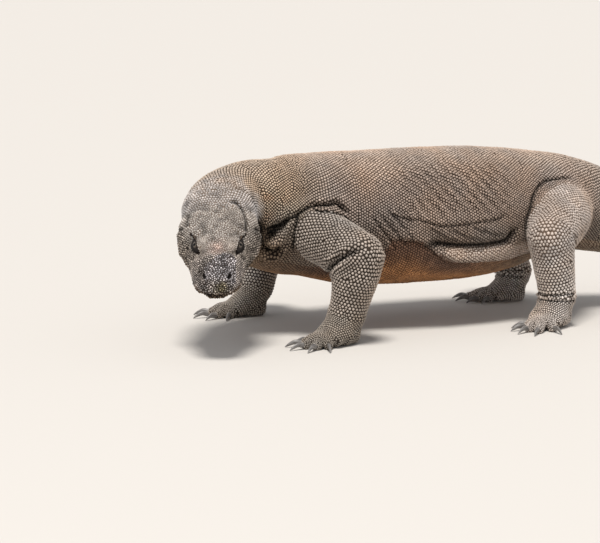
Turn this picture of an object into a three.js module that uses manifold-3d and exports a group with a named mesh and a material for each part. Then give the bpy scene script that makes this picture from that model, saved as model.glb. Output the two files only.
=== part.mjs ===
// A Komodo dragon, life size, standing still with its head lowered and turned to its left.
// Units are millimetres, +Z is up, the floor is z = 0, the head end points to -X and the left flank to -Y.
// Flesh is lofted from oval sections, parted with thin cuts at the joints, and trimmed flat at the floor.

import * as THREE from 'three';
import { mergeVertices } from 'three/addons/utils/BufferGeometryUtils.js';
import Module from 'manifold-3d';

const wasm = await Module();
wasm.setup();

// Driving dimensions.
const GAP = 0.3;                  // clearance between neighbouring pieces
const TRUNK_LENGTH = 620;         // shoulder joints to hip joints
const BACK_HEIGHT = 411;          // floor to the top of the back
const BELLY_HEIGHT = 88;          // floor to the underside of the belly
const BELLY_HALF_WIDTH = 172;
const TAIL_LENGTH = 1330;         // hip joints to the tip of the tail, seen from above
const HEAD_LENGTH = 240;          // back of the skull to the tip of the snout
const HEAD_HALF_WIDTH = 88;       // at the cheeks
const HEAD_YAW = 67;              // degrees that the head turns from straight ahead to the left
const HEAD_PITCH = 28;            // degrees that the snout points down
const HEAD_PLACE = [-247, -126, 274];
const EYE_RADIUS = 15;
const CLAW_LENGTH = 34;

// Mesh fineness.
const SPINE_SIDES = 20;
const LIMB_SIDES = 12;
const FOOT_SIDES = 10;
const DIGIT_SIDES = 6;
const CLAW_SIDES = 5;

const UP = new THREE.Vector3(0, 0, 1);
const { degToRad, lerp, smoothstep } = THREE.MathUtils;
const vec = (x, y, z) => new THREE.Vector3(x, y, z);

// One cross-section: its centre, half its width, and how far it reaches above and below the centre.
const section = (centre, wide, above, below = above) => ({ centre, wide, above, below });

// A closed body through a row of sections. from and to pick a length of it, counted in sections; swell grows
// it all round; startDome and endDome round an end off over that length, and an end without one is flat.
function loft(sections, options) {
  const { rings, sides, up = UP, from = 0, to = sections.length - 1 } = options;
  const { swell = 0, startDome = 0, endDome = 0, domeRings = 3, fullness = () => 1 } = options;
  const spans = sections.length - 1;
  const centres = new THREE.CatmullRomCurve3(sections.map((s) => s.centre), false, 'catmullrom', 0.5);
  const reaches = sections.map((s) => vec(s.wide, s.above, s.below));
  const sizes = new THREE.CatmullRomCurve3(reaches, false, 'catmullrom', 0.5);

  // Each ring is a place along the row, a step beyond it, and a share of the section's size.
  const plan = [];
  for (let k = domeRings - 1; startDome && k > 0; k -= 1) {
    const lean = (Math.PI / 2) * (k / domeRings);
    plan.push([from, -(startDome + swell) * Math.sin(lean), Math.cos(lean)]);
  }
  for (let k = 0; k <= rings; k += 1) {
    plan.push([lerp(from, to, k / rings), 0, 1]);
  }
  for (let k = 1; endDome && k < domeRings; k += 1) {
    const lean = (Math.PI / 2) * (k / domeRings);
    plan.push([to, (endDome + swell) * Math.sin(lean), Math.cos(lean)]);
  }

  const positions = [];
  for (const [place, beyond, share] of plan) {
    const t = place / spans;
    const tangent = centres.getTangent(t);
    const side = tangent.clone().cross(up).normalize();
    const top = side.clone().cross(tangent);
    const centre = centres.getPoint(t).addScaledVector(tangent, beyond);
    const size = sizes.getPoint(t);
    for (let k = 0; k < sides; k += 1) {
      const angle = (2 * Math.PI * k) / sides;
      const fill = fullness(angle, place);
      const height = Math.sin(angle) > 0 ? size.y : size.z;
      const point = centre.clone();
      point.addScaledVector(side, share * (size.x * fill + swell) * Math.cos(angle));
      point.addScaledVector(top, share * (height * fill + swell) * Math.sin(angle));
      positions.push(...point.toArray());
    }
  }
  const pole = (place, beyond) => centres.getPoint(place / spans)
    .addScaledVector(centres.getTangent(place / spans), beyond);
  positions.push(...pole(from, startDome ? -startDome - swell : 0).toArray());
  positions.push(...pole(to, endDome ? endDome + swell : 0).toArray());

  const indices = [];
  const lastRing = (plan.length - 1) * sides;
  const startPole = plan.length * sides;
  for (let k = 0; k < sides; k += 1) {
    const next = (k + 1) % sides;
    for (let row = 0; row < lastRing; row += sides) {
      indices.push(row + k, row + sides + k, row + next);
      indices.push(row + next, row + sides + k, row + sides + next);
    }
    indices.push(startPole, k, next);
    indices.push(startPole + 1, lastRing + next, lastRing + k);
  }
  const geometry = new THREE.BufferGeometry();
  geometry.setAttribute('position', new THREE.Float32BufferAttribute(positions, 3));
  geometry.setIndex(indices);
  return geometry;
}

// A geometry as a solid that can be joined and cut, and a solid as a geometry again.
function solid(geometry) {
  const bare = geometry.clone();
  bare.deleteAttribute('normal');
  bare.deleteAttribute('uv');
  const merged = mergeVertices(bare, 1e-4);
  return new wasm.Manifold(new wasm.Mesh({
    numProp: 3,
    vertProperties: new Float32Array(merged.attributes.position.array),
    triVerts: new Uint32Array(merged.index.array),
  }));
}

function geometryOf(body) {
  const { vertProperties, triVerts } = body.getMesh();
  const geometry = new THREE.BufferGeometry();
  geometry.setAttribute('position', new THREE.Float32BufferAttribute(vertProperties, 3));
  geometry.setIndex(new THREE.Uint32BufferAttribute(triVerts, 1));
  return geometry;
}

// The floor is a slab that trims soles and the tail flat.
const FLOOR_REACH = 6000;
const FLOOR_DEPTH = 200;
const floorSlab = solid(new THREE.BoxGeometry(FLOOR_REACH, FLOOR_REACH, FLOOR_DEPTH)
  .translate(0, 0, -FLOOR_DEPTH / 2));

const model = new THREE.Group();
const skinMaterial = () => new THREE.MeshStandardMaterial({ color: 0x8c7d70, roughness: 0.85, metalness: 0 });
const eyeMaterial = () => new THREE.MeshStandardMaterial({ color: 0x1c1512, roughness: 0.1, metalness: 0 });
const clawMaterial = () => new THREE.MeshStandardMaterial({ color: 0x4a4745, roughness: 0.45, metalness: 0 });

function addPart(name, body, material) {
  const mesh = new THREE.Mesh(geometryOf(body), material);
  mesh.name = name;
  model.add(mesh);
}

// ---------------------------------------------------------------------------------------------------------
// Head. In its own frame the back of the skull is the origin, the snout points along +X and up is +Z.
// ---------------------------------------------------------------------------------------------------------

const headFrame = new THREE.Matrix4().makeRotationZ(degToRad(180 + HEAD_YAW))
  .multiply(new THREE.Matrix4().makeRotationY(degToRad(HEAD_PITCH)))
  .setPosition(...HEAD_PLACE);

// A head section: how far along the head it is, its width as a share of the cheeks', its middle, its reaches.
const headSection = (share, width, middle, above, below) => section(
  vec(share * HEAD_LENGTH, 0, middle), width * HEAD_HALF_WIDTH, above, below);
const skullBack = headSection(0.02, 0.92, -6, 62, 64);
const headSections = [
  skullBack,
  headSection(0.18, 1.00, -6, 60, 60),    // cheeks
  headSection(0.34, 0.96, -4, 57, 55),    // corner of the jaws
  headSection(0.50, 0.79, -3, 51, 48),    // eyes
  headSection(0.64, 0.69, -4, 43, 41),
  headSection(0.78, 0.61, -7, 35, 34),    // muzzle
  headSection(0.90, 0.52, -9, 28, 27),    // nostrils
  headSection(0.96, 0.39, -10, 22, 22),   // lips
];
// The crown and the cheeks are fuller than an oval, and the brow above the eyes is pinched.
const CROWN_FULLNESS = 0.14;
const BROW_FULLNESS = -0.02;
const CHEEK_FULLNESS = 0.07;
const headFullness = (angle, place) => {
  const upper = lerp(CROWN_FULLNESS, BROW_FULLNESS, smoothstep(place, 0.8, 2.8));
  const fullness = Math.sin(angle) > 0 ? upper : CHEEK_FULLNESS;
  return 1 + fullness * Math.abs(Math.sin(2 * angle));
};
const wholeHead = solid(loft(headSections, {
  rings: 10, sides: SPINE_SIDES, endDome: 0.04 * HEAD_LENGTH, fullness: headFullness,
}).applyMatrix4(headFrame));

// The mouth is a thin cut from the lips back to the corner of the jaws.
const MOUTH_CORNER = vec(84, 0, -26);
const mouthProfile = (gap) => {
  const reach = HEAD_LENGTH + 40;
  const floor = -150;
  const profile = new THREE.Shape();
  profile.moveTo(MOUTH_CORNER.x - gap, MOUTH_CORNER.z + gap);
  profile.quadraticCurveTo(0.6 * HEAD_LENGTH, -14 + gap, 0.8 * HEAD_LENGTH, -24 + gap);
  profile.quadraticCurveTo(0.9 * HEAD_LENGTH, -29 + gap, reach, -14 + gap);
  profile.lineTo(reach, floor);
  profile.lineTo(0.1 * HEAD_LENGTH - gap, floor);
  profile.closePath();
  return profile;
};
const belowMouth = (gap) => {
  const width = 4 * HEAD_HALF_WIDTH;
  const options = { depth: width, bevelEnabled: false, curveSegments: 4 };
  const block = new THREE.ExtrudeGeometry(mouthProfile(gap), options);
  return solid(block.translate(0, 0, -width / 2).rotateX(Math.PI / 2).applyMatrix4(headFrame));
};

// Eyes stand a little proud of their sockets, and nostrils are shallow pits.
const EYE_PLACE = { x: 0.505 * HEAD_LENGTH, y: 43, z: 25 };
const NOSTRIL_PLACE = { x: 0.875 * HEAD_LENGTH, y: 30, z: 12 };
const NOSTRIL_RADIUS = 6;
const ball = (radius, place, side, rows = 7) => solid(new THREE.SphereGeometry(radius, 10, rows)
  .translate(place.x, side * place.y, place.z)
  .applyMatrix4(headFrame));

const SIDES = { left: 1, right: -1 };
let upperHead = wholeHead.subtract(belowMouth(GAP));
for (const side of Object.values(SIDES)) {
  upperHead = upperHead.subtract(ball(EYE_RADIUS + GAP, EYE_PLACE, side));
  upperHead = upperHead.subtract(ball(NOSTRIL_RADIUS, NOSTRIL_PLACE, side, 5));
}
addPart('head', upperHead, skinMaterial());
addPart('lower_jaw', wholeHead.intersect(belowMouth(0)), skinMaterial());
for (const [name, side] of Object.entries(SIDES)) {
  addPart(`eye_${name}`, ball(EYE_RADIUS, EYE_PLACE, side), eyeMaterial());
}

// ---------------------------------------------------------------------------------------------------------
// Neck, trunk and tail: one row of sections from inside the head to the tip of the tail.
// ---------------------------------------------------------------------------------------------------------

const AXIS_HEIGHT = (BACK_HEIGHT + BELLY_HEIGHT) / 2;
const TRUNK_HALF_HEIGHT = (BACK_HEIGHT - BELLY_HEIGHT) / 2;

// A trunk section: how far it is from shoulders to hips, and its size as shares of the belly's.
const trunkSection = (share, width, above, below, lift = 0) => section(
  vec(share * TRUNK_LENGTH, 0, AXIS_HEIGHT + lift),
  width * BELLY_HALF_WIDTH, above * TRUNK_HALF_HEIGHT, below * TRUNK_HALF_HEIGHT);

// The tail drops to the floor, then lies along it in a slow curve.
const TAIL_SECTIONS = 12;
const TAIL_TOUCHDOWN = 0.46;      // share of the tail that hangs clear of the floor
const TAIL_SWAY = 62;
const TAIL_FLAT = 2;              // depth of the flat worn along its underside
const tailSections = Array.from({ length: TAIL_SECTIONS }, (_, k) => {
  const share = (k + 1) / TAIL_SECTIONS;
  const slim = 1 - share;
  const wide = 3 + 100 * slim ** 1.55;
  const tall = 6 + 110 * slim ** 1.3;
  const hang = 1 - smoothstep(share, 0.02, TAIL_TOUCHDOWN);
  const sway = -TAIL_SWAY * Math.sin(1.7 * Math.PI * share) * smoothstep(share, 0, 0.3);
  const x = TRUNK_LENGTH + lerp(60, TAIL_LENGTH, share);
  return section(vec(x, sway, tall - TAIL_FLAT + (AXIS_HEIGHT - tall) * hang), wide, tall);
});

// The neck leaves the skull along the head's own axis, then bends round to the trunk.
const inHead = (x, z) => vec(x, 0, z).applyMatrix4(headFrame);
const spineSections = [
  section(inHead(skullBack.centre.x, skullBack.centre.z), skullBack.wide, skullBack.above, skullBack.below),
  section(inHead(-45, skullBack.centre.z), 86, 77, 84),   // nape
  section(vec(-190, -36, 297), 95, 91, 104),
  section(vec(-128, -8, 292), 107, 111, 124),             // middle of the neck
  trunkSection(-0.10, 0.73, 0.85, 0.84, 22),   // base of the neck
  trunkSection(0.02, 0.84, 0.92, 0.86, 11),    // shoulders
  trunkSection(0.16, 0.90, 0.97, 0.95, 4),
  trunkSection(0.33, 0.97, 1.00, 0.99),
  trunkSection(0.50, 1.00, 1.00, 1.00),        // belly
  trunkSection(0.68, 0.98, 0.99, 0.99),
  trunkSection(0.84, 0.87, 0.94, 0.93, 2),     // flanks
  trunkSection(0.98, 0.72, 0.85, 0.75, 6),     // hips
  trunkSection(1.10, 0.63, 0.77, 0.68, 6),     // root of the tail
  ...tailSections,
];

// Loose skin bulges along the flank, and the belly is tucked in below it.
const FLAP_ANGLE = degToRad(-28);
const FLAP_SPREAD = degToRad(17);
const FLAP_BULGE = 0.05;
const BELLY_TUCK = 0.045;
const spineFullness = (angle, place) => {
  const overTrunk = smoothstep(place, 6, 7.5) * (1 - smoothstep(place, 9.5, 11.5));
  const fromFlank = Math.asin(Math.sin(angle));
  const bulge = FLAP_BULGE * Math.exp(-(((fromFlank - FLAP_ANGLE) / FLAP_SPREAD) ** 2));
  const tuck = BELLY_TUCK * smoothstep(-fromFlank, degToRad(42), degToRad(75))
    * (1 - smoothstep(-fromFlank, degToRad(75), degToRad(90)));
  const ofHead = (headFullness(angle, 0) - 1) * (1 - smoothstep(place, 0, 1.6));
  return 1 + ofHead + overTrunk * (bulge - tuck);
};

// Where the row is parted, counted in sections, with the rings in each length.
const spineParts = [
  { name: 'neck', to: 5, rings: 9 },
  { name: 'chest', to: 7.5, rings: 4 },
  { name: 'belly', to: 10.5, rings: 5 },
  { name: 'hips', to: 13, rings: 5 },
  { name: 'tail_base', to: 16, rings: 5 },
  { name: 'tail_middle', to: 19, rings: 5 },
  { name: 'tail_slim', to: 22, rings: 4 },
  { name: 'tail_tip', to: 24, rings: 2 },
];
const PARTING = 0.004;            // share of a span that parts two lengths
const spineLoft = (from, to, rings, extra) => solid(loft(spineSections, {
  from, to, rings, sides: SPINE_SIDES, fullness: spineFullness, ...extra,
}));
const TAIL_TIP_DOME = 6;
let from = 0;
for (const { name, to, rings } of spineParts) {
  const endDome = to === spineSections.length - 1 ? TAIL_TIP_DOME : 0;
  const length = spineLoft(from + PARTING, to, rings, { endDome });
  addPart(name, length.subtract(floorSlab), skinMaterial());
  from = to;
}
// What the legs leave clear: the same lengths as far as the root of the tail, grown by the gap.
const trunkSocket = spineParts.slice(0, 4)
  .map(({ to, rings }, k) => spineLoft(k ? spineParts[k - 1].to : 0, to, rings, { swell: GAP }))
  .reduce((whole, length) => whole.add(length));

// ---------------------------------------------------------------------------------------------------------
// Legs. Each is an upper part, a lower part and a foot of five toes, and each toe ends in a claw.
// ---------------------------------------------------------------------------------------------------------

// A point on the way from a to b, which may lie beyond either.
const between = (a, b, share) => a.clone().lerp(b, share);

// All of space on one side of a plane, as far as a leg reaches.
const LEG_REACH = 900;
function halfSpace(point, normal) {
  const turn = new THREE.Quaternion().setFromUnitVectors(UP, normal);
  const place = new THREE.Matrix4().compose(point, turn, vec(1, 1, 1));
  const block = new THREE.BoxGeometry(LEG_REACH, LEG_REACH, LEG_REACH).translate(0, 0, LEG_REACH / 2);
  return solid(block.applyMatrix4(place));
}

// Heights above the floor of the middles of the foot's sections. Each reaches a little below the floor, so
// trimming leaves a worn flat under the ball and the heel.
const SOLE = { heel: 26, instep: 22, ball: 20 };
const PALM_DOME = 16;
const HEEL_DOME = { back: 14, front: 12 };

// Toes fan out from the ball of the foot, numbered from the inner side.
const TOE_ROOT_HEIGHT = 20;
const TOE_TIP_HEIGHT = 9.5;
function toes({ ball: ballOfFoot, heading, side, fan, lengths, radius }) {
  return lengths.map((length, k) => {
    const out = heading.clone().applyAxisAngle(UP, side * degToRad(fan[k]));
    const root = ballOfFoot.clone().addScaledVector(out, radius);
    const at = (share, height) => root.clone().addScaledVector(out, share * length).setZ(height);
    const clawAt = (step, height) => at(1, height).addScaledVector(out, step);
    const toe = [
      section(at(-0.35, TOE_ROOT_HEIGHT), radius * 1.15, radius * 1.1),
      section(at(0.30, TOE_ROOT_HEIGHT), radius * 0.98, radius),
      section(at(0.75, TOE_TIP_HEIGHT), radius * 0.84, radius * 0.88),
      section(at(1, TOE_TIP_HEIGHT), radius * 0.66, radius * 0.7),
    ];
    const claw = [
      section(clawAt(GAP, TOE_TIP_HEIGHT), radius * 0.36, radius * 0.50),
      section(clawAt(0.35 * CLAW_LENGTH, TOE_TIP_HEIGHT), radius * 0.30, radius * 0.42),
      section(clawAt(0.75 * CLAW_LENGTH, 6.5), radius * 0.18, radius * 0.26),
      section(clawAt(CLAW_LENGTH, 1.6), 0.9, 1.1),
    ];
    return { toe, claw };
  });
}

function leg(name, { parts, root, joint, ankle, girth, foot, side }) {
  const upper = [
    section(between(root, joint, -0.45), girth.root * 0.9, girth.root * 0.9),
    section(root, girth.root, girth.root * 1.02),
    section(between(root, joint, 0.5), girth.upper, girth.upper, girth.upper * 1.1),
    section(joint, girth.joint, girth.joint),
  ];
  const lower = [
    section(joint, girth.joint * 0.96, girth.joint * 0.98),
    section(between(joint, ankle, 0.35), girth.lower, girth.lower),
    section(between(joint, ankle, 0.75), girth.ankle * 1.05, girth.ankle * 1.08),
    section(ankle, girth.ankle, girth.ankle),
  ];
  const ballOfFoot = ankle.clone().addScaledVector(foot.heading, foot.reach).setZ(SOLE.ball);
  const palm = [
    section(ankle.clone().setZ(ankle.z + 4), girth.ankle * 0.98, girth.ankle * 0.9),
    section(between(ankle, ballOfFoot, 0.45).setZ(lerp(ankle.z, SOLE.ball, 0.55)), foot.wide * 0.9, 30, 34),
    section(ballOfFoot, foot.wide, 20, 26),
  ];
  const heelAt = (step, height) => ankle.clone().addScaledVector(foot.heading, step).setZ(height);
  const heel = [
    section(heelAt(-8, SOLE.heel), girth.ankle * 0.86, 26, 30),
    section(heelAt(24, SOLE.instep), girth.ankle * 0.98, 24, 28),
  ];
  const digits = toes({ ball: ballOfFoot, side, ...foot });

  const upperLeg = solid(loft(upper, {
    rings: 3, sides: LIMB_SIDES, startDome: girth.root * 0.4, endDome: girth.joint * 0.95, domeRings: 2,
  }));
  const lowerLeg = solid(loft(lower, {
    rings: 4, sides: LIMB_SIDES, up: foot.heading, startDome: girth.joint * 0.85, domeRings: 2,
  }));
  const wholeLeg = upperLeg.add(lowerLeg).subtract(trunkSocket);
  let wholeFoot = solid(loft(palm, { rings: 2, sides: FOOT_SIDES, endDome: PALM_DOME, domeRings: 2 }));
  wholeFoot = wholeFoot.add(solid(loft(heel, {
    rings: 1, sides: FOOT_SIDES, startDome: HEEL_DOME.back, endDome: HEEL_DOME.front, domeRings: 2,
  })));
  for (const { toe } of digits) {
    wholeFoot = wholeFoot.add(solid(loft(toe, { rings: 3, sides: DIGIT_SIDES })));
  }

  // Parted across the bend of the joint, and across the ankle.
  const upperWay = joint.clone().sub(root).normalize();
  const lowerWay = ankle.clone().sub(joint).normalize();
  const bend = upperWay.clone().add(lowerWay).normalize();
  const past = (point, way, step) => halfSpace(point.clone().addScaledVector(way, step), way);
  addPart(`${parts[0]}_${name}`, wholeLeg.subtract(past(joint, bend, -GAP / 2)), skinMaterial());
  addPart(`${parts[1]}_${name}`, wholeLeg.intersect(past(joint, bend, GAP / 2)), skinMaterial());
  addPart(`${parts[2]}_${name}`, wholeFoot.intersect(past(ankle, lowerWay, GAP)).subtract(floorSlab),
    skinMaterial());
  digits.forEach(({ claw }, k) => {
    const horn = solid(loft(claw, { rings: 3, sides: CLAW_SIDES }));
    addPart(`claw_${parts[2]}_${name}_${k + 1}`, horn.subtract(floorSlab), clawMaterial());
  });
}

const heading = (degrees) => vec(-1, 0, 0).applyAxisAngle(UP, degToRad(degrees));
const foreParts = ['upper_arm', 'forearm', 'hand'];
const hindParts = ['thigh', 'shank', 'foot'];
const foreGirth = { root: 62, upper: 58, joint: 53, lower: 54, ankle: 42 };
const hindGirth = { root: 74, upper: 66, joint: 52, lower: 50, ankle: 42 };
const foreFoot = {
  reach: 60, wide: 45, radius: 14, fan: [-62, -30, -4, 24, 56], lengths: [32, 46, 52, 46, 34],
};
const hindFoot = {
  reach: 56, wide: 46, radius: 14, fan: [-50, -24, -2, 22, 62], lengths: [28, 42, 54, 58, 38],
};

leg('left', {
  parts: foreParts,
  side: 1,
  girth: foreGirth,
  root: vec(-8, -112, 240),
  joint: vec(44, -238, 200),
  ankle: vec(24, -216, 66),
  foot: { ...foreFoot, heading: heading(16) },
});
leg('right', {
  parts: foreParts,
  side: -1,
  girth: foreGirth,
  root: vec(-8, 112, 240),
  joint: vec(4, 230, 190),
  ankle: vec(-28, 204, 66),
  foot: { ...foreFoot, heading: heading(-4) },
});
leg('left', {
  parts: hindParts,
  side: 1,
  girth: hindGirth,
  root: vec(TRUNK_LENGTH + 14, -100, 248),
  joint: vec(538, -222, 214),
  ankle: vec(569, -207, 68),
  foot: { ...hindFoot, heading: heading(27) },
});
leg('right', {
  parts: hindParts,
  side: -1,
  girth: hindGirth,
  root: vec(TRUNK_LENGTH + 14, 100, 248),
  joint: vec(612, 222, 198),
  ankle: vec(652, 148, 68),
  foot: { ...hindFoot, heading: heading(-12) },
});

// The origin is on the floor, under the middle of the animal's box.
const box = new THREE.Box3().setFromObject(model);
const middle = box.getCenter(vec(0, 0, 0));
model.position.set(-middle.x, -middle.y, 0);

export default model;
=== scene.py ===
import math

import bmesh
import bpy
import numpy as np
import openvdb
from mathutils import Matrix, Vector
from mathutils.bvhtree import BVHTree
from mathutils.kdtree import KDTree


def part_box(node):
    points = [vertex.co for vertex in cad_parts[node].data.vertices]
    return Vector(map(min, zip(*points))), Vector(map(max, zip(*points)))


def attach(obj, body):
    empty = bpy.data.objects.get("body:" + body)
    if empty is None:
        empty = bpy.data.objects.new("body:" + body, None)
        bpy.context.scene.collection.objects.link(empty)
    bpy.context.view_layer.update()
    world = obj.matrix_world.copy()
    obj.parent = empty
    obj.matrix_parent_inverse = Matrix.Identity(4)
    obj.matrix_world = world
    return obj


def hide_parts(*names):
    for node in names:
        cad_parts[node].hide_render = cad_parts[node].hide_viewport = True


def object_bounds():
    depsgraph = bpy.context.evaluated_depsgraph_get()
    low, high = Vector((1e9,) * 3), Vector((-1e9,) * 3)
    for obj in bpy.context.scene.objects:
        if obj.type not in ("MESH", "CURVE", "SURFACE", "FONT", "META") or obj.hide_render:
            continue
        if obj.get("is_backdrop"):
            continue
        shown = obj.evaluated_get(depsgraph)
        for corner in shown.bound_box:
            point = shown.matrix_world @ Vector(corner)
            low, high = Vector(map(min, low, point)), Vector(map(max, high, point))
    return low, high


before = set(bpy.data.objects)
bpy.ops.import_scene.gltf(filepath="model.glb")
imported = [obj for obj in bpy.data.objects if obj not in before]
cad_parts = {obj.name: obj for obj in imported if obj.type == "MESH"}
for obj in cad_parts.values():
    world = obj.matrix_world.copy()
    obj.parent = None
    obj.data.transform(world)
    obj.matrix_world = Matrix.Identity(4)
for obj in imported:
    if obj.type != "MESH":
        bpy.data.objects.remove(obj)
cad_low, cad_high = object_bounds()

# ---------------------------------------------------------------------------------------------------------------
# Body under the scales: one row of oval sections for the head and one from the skull to the tail's tip, then four
# legs with five toes each. The sizes are those of the solids, in metres. Each length is a closed form, and the
# skin is later drawn round them all at once.
# ---------------------------------------------------------------------------------------------------------------

HEAD_LENGTH = 0.240
HEAD_HALF_WIDTH = 0.088
HEAD_YAW = 67
HEAD_PITCH = 28
HEAD_PLACE = np.array([-0.247, -0.126, 0.274])
TRUNK_LENGTH = 0.620
TAIL_LENGTH = 1.330
AXIS_HEIGHT = 0.2495
TRUNK_HALF_HEIGHT = 0.1615
BELLY_HALF_WIDTH = 0.172
UP = np.array([0.0, 0.0, 1.0])


def lerp(a, b, share):
    return a + (b - a) * share


def smooth(value, low, high):
    """0 below low, 1 above high, and an even ease between."""
    t = np.clip((value - low) / (high - low), 0.0, 1.0)
    return t * t * (3.0 - 2.0 * t)


def hump(value, middle, spread):
    """A soft rise of height 1 round middle."""
    return np.exp(-(((value - middle) / spread) ** 2))


def unit(v):
    return v / np.maximum(np.linalg.norm(v, axis=-1, keepdims=True), 1e-12)


FULL_TURN = 2 * math.pi


def evenly_round(count):
    """Angles of so many places round a ring."""
    return np.arange(count) * FULL_TURN / count


def turned(vector, degrees):
    """A level direction turned to the left about the upright."""
    c, s = math.cos(math.radians(degrees)), math.sin(math.radians(degrees))
    x, y, z = vector
    return np.array([c * x - s * y, s * x + c * y, z])


yaw, pitch = math.radians(180 + HEAD_YAW), math.radians(HEAD_PITCH)
HEAD_TURN = np.array([[math.cos(yaw), -math.sin(yaw), 0], [math.sin(yaw), math.cos(yaw), 0], [0, 0, 1]]) @ np.array(
    [[math.cos(pitch), 0, math.sin(pitch)], [0, 1, 0], [-math.sin(pitch), 0, math.cos(pitch)]])
EYE_RADIUS = 0.015
EYE_PLACE = np.array([0.505 * HEAD_LENGTH, 0.043, 0.025])

# The solids' origin is under the middle of their box, and the sections are given from the shoulders.
low, high = (np.array(c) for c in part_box("eye_left"))
SHIFT = (low + high) / 2 - (HEAD_TURN @ EYE_PLACE + HEAD_PLACE)
SHIFT[2] = 0.0


def from_head(points):
    """Points in the head's own frame, snout along X and up along Z, as points of the model."""
    return np.asarray(points, float) @ HEAD_TURN.T + HEAD_PLACE + SHIFT


def to_head(points):
    return (np.asarray(points, float) - HEAD_PLACE - SHIFT) @ HEAD_TURN


def section(centre, wide, above, below=None):
    return [*centre, wide, above, above if below is None else below]


def head_section(share, width, middle, above, below):
    centre = from_head([share * HEAD_LENGTH, 0, middle])
    return section(centre, width * HEAD_HALF_WIDTH, above, below)


head_row = np.array([
    head_section(0.02, 0.92, -0.006, 0.062, 0.064),
    head_section(0.18, 1.00, -0.006, 0.060, 0.060),
    head_section(0.34, 0.96, -0.004, 0.057, 0.055),
    head_section(0.50, 0.79, -0.003, 0.051, 0.048),
    head_section(0.64, 0.69, -0.004, 0.043, 0.041),
    head_section(0.78, 0.61, -0.007, 0.035, 0.034),
    head_section(0.90, 0.52, -0.009, 0.028, 0.027),
    head_section(0.96, 0.39, -0.010, 0.022, 0.022),
])


def trunk_section(share, width, above, below, lift=0.0):
    centre = np.array([share * TRUNK_LENGTH, 0, AXIS_HEIGHT + lift]) + SHIFT
    return section(centre, width * BELLY_HALF_WIDTH, above * TRUNK_HALF_HEIGHT, below * TRUNK_HALF_HEIGHT)


TAIL_SECTIONS = 12
TAIL_HALF_WIDTHS, TAIL_HALF_HEIGHTS = (0.003, 0.100), (0.006, 0.110)    # at the tip, and what the root has more
TAIL_SWAY = 0.062
TAIL_SUNK = 0.002                   # how far its underside is pressed flat on the floor


def tail_section(share):
    slim = 1 - share
    wide = TAIL_HALF_WIDTHS[0] + TAIL_HALF_WIDTHS[1] * slim ** 1.55
    tall = TAIL_HALF_HEIGHTS[0] + TAIL_HALF_HEIGHTS[1] * slim ** 1.3
    hang = 1 - smooth(share, 0.02, 0.46)
    sway = -TAIL_SWAY * math.sin(1.7 * math.pi * share) * smooth(share, 0, 0.3)
    x = TRUNK_LENGTH + lerp(0.060, TAIL_LENGTH, share)
    return section(np.array([x, sway, tall - TAIL_SUNK + (AXIS_HEIGHT - tall) * hang]) + SHIFT, wide, tall)


spine_row = np.array([
    head_row[0],
    section(from_head([-0.045, 0, -0.006]), 0.086, 0.077, 0.084),
    section(np.array([-0.190, -0.036, 0.297]) + SHIFT, 0.095, 0.091, 0.104),
    section(np.array([-0.128, -0.008, 0.292]) + SHIFT, 0.107, 0.111, 0.124),
    trunk_section(-0.10, 0.73, 0.85, 0.84, 0.022),
    trunk_section(0.02, 0.84, 0.92, 0.86, 0.011),
    trunk_section(0.16, 0.90, 0.97, 0.95, 0.004),
    trunk_section(0.33, 0.97, 1.00, 0.99),
    trunk_section(0.50, 1.00, 1.00, 1.00),
    trunk_section(0.68, 0.98, 0.99, 0.99),
    trunk_section(0.84, 0.87, 0.94, 0.93, 0.002),
    trunk_section(0.98, 0.72, 0.85, 0.75, 0.006),
    trunk_section(1.10, 0.63, 0.77, 0.68, 0.006),
    *[tail_section((k + 1) / TAIL_SECTIONS) for k in range(TAIL_SECTIONS)],
])


def head_fullness(angle, place):
    upper = lerp(0.14, -0.02, smooth(place, 0.8, 2.8))
    return 1 + np.where(np.sin(angle) > 0, upper, 0.07) * np.abs(np.sin(2 * angle))


FLANK_BULGE, BELLY_TUCK = 0.05, 0.045       # as shares of the half width


def spine_fullness(angle, place):
    over_trunk = smooth(place, 6, 7.5) * (1 - smooth(place, 9.5, 11.5))
    flank = np.arcsin(np.sin(angle))
    bulge = FLANK_BULGE * hump(flank, math.radians(-28), math.radians(17))
    tuck = BELLY_TUCK * smooth(-flank, math.radians(42), math.radians(75)) * (
        1 - smooth(-flank, math.radians(75), math.radians(90)))
    of_head = (head_fullness(angle, 0) - 1) * (1 - smooth(place, 0, 1.6))
    return 1 + of_head + over_trunk * (bulge - tuck)


def plain_fullness(angle, place):
    return np.ones_like(angle)


def along(row, places):
    """The smooth run of a row of sections and its direction, at places counted in sections."""
    padded = np.vstack([2 * row[0] - row[1], row, 2 * row[-1] - row[-2]])
    k = np.clip(np.floor(places).astype(int), 0, len(row) - 2)
    w = (places - k)[:, None]
    a, b, c, d = padded[k], padded[k + 1], padded[k + 2], padded[k + 3]
    start, end = (c - a) / 2, (d - b) / 2
    square, cube = -3 * b + 3 * c - 2 * start - end, 2 * b - 2 * c + start + end
    return b + start * w + square * w ** 2 + cube * w ** 3, start + 2 * square * w + 3 * cube * w ** 2


def wrap(row, places, angles, fullness=plain_fullness, up=UP, beyond=0.0, share=1.0):
    """Points on a form: places count its sections, and angles go round it over the top."""
    values, slopes = along(row, places)
    ahead = unit(slopes[:, :3])
    side = unit(np.cross(ahead, np.broadcast_to(up, ahead.shape)))
    top = np.cross(side, ahead)
    fill = fullness(angles, places) * share
    height = np.where(np.sin(angles) > 0, values[:, 4], values[:, 5])
    return (values[:, :3] + ahead * np.reshape(beyond, (-1, 1))
            + side * (values[:, 3] * fill * np.cos(angles))[:, None]
            + top * (height * fill * np.sin(angles))[:, None])


DOME_RINGS = 6


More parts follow.
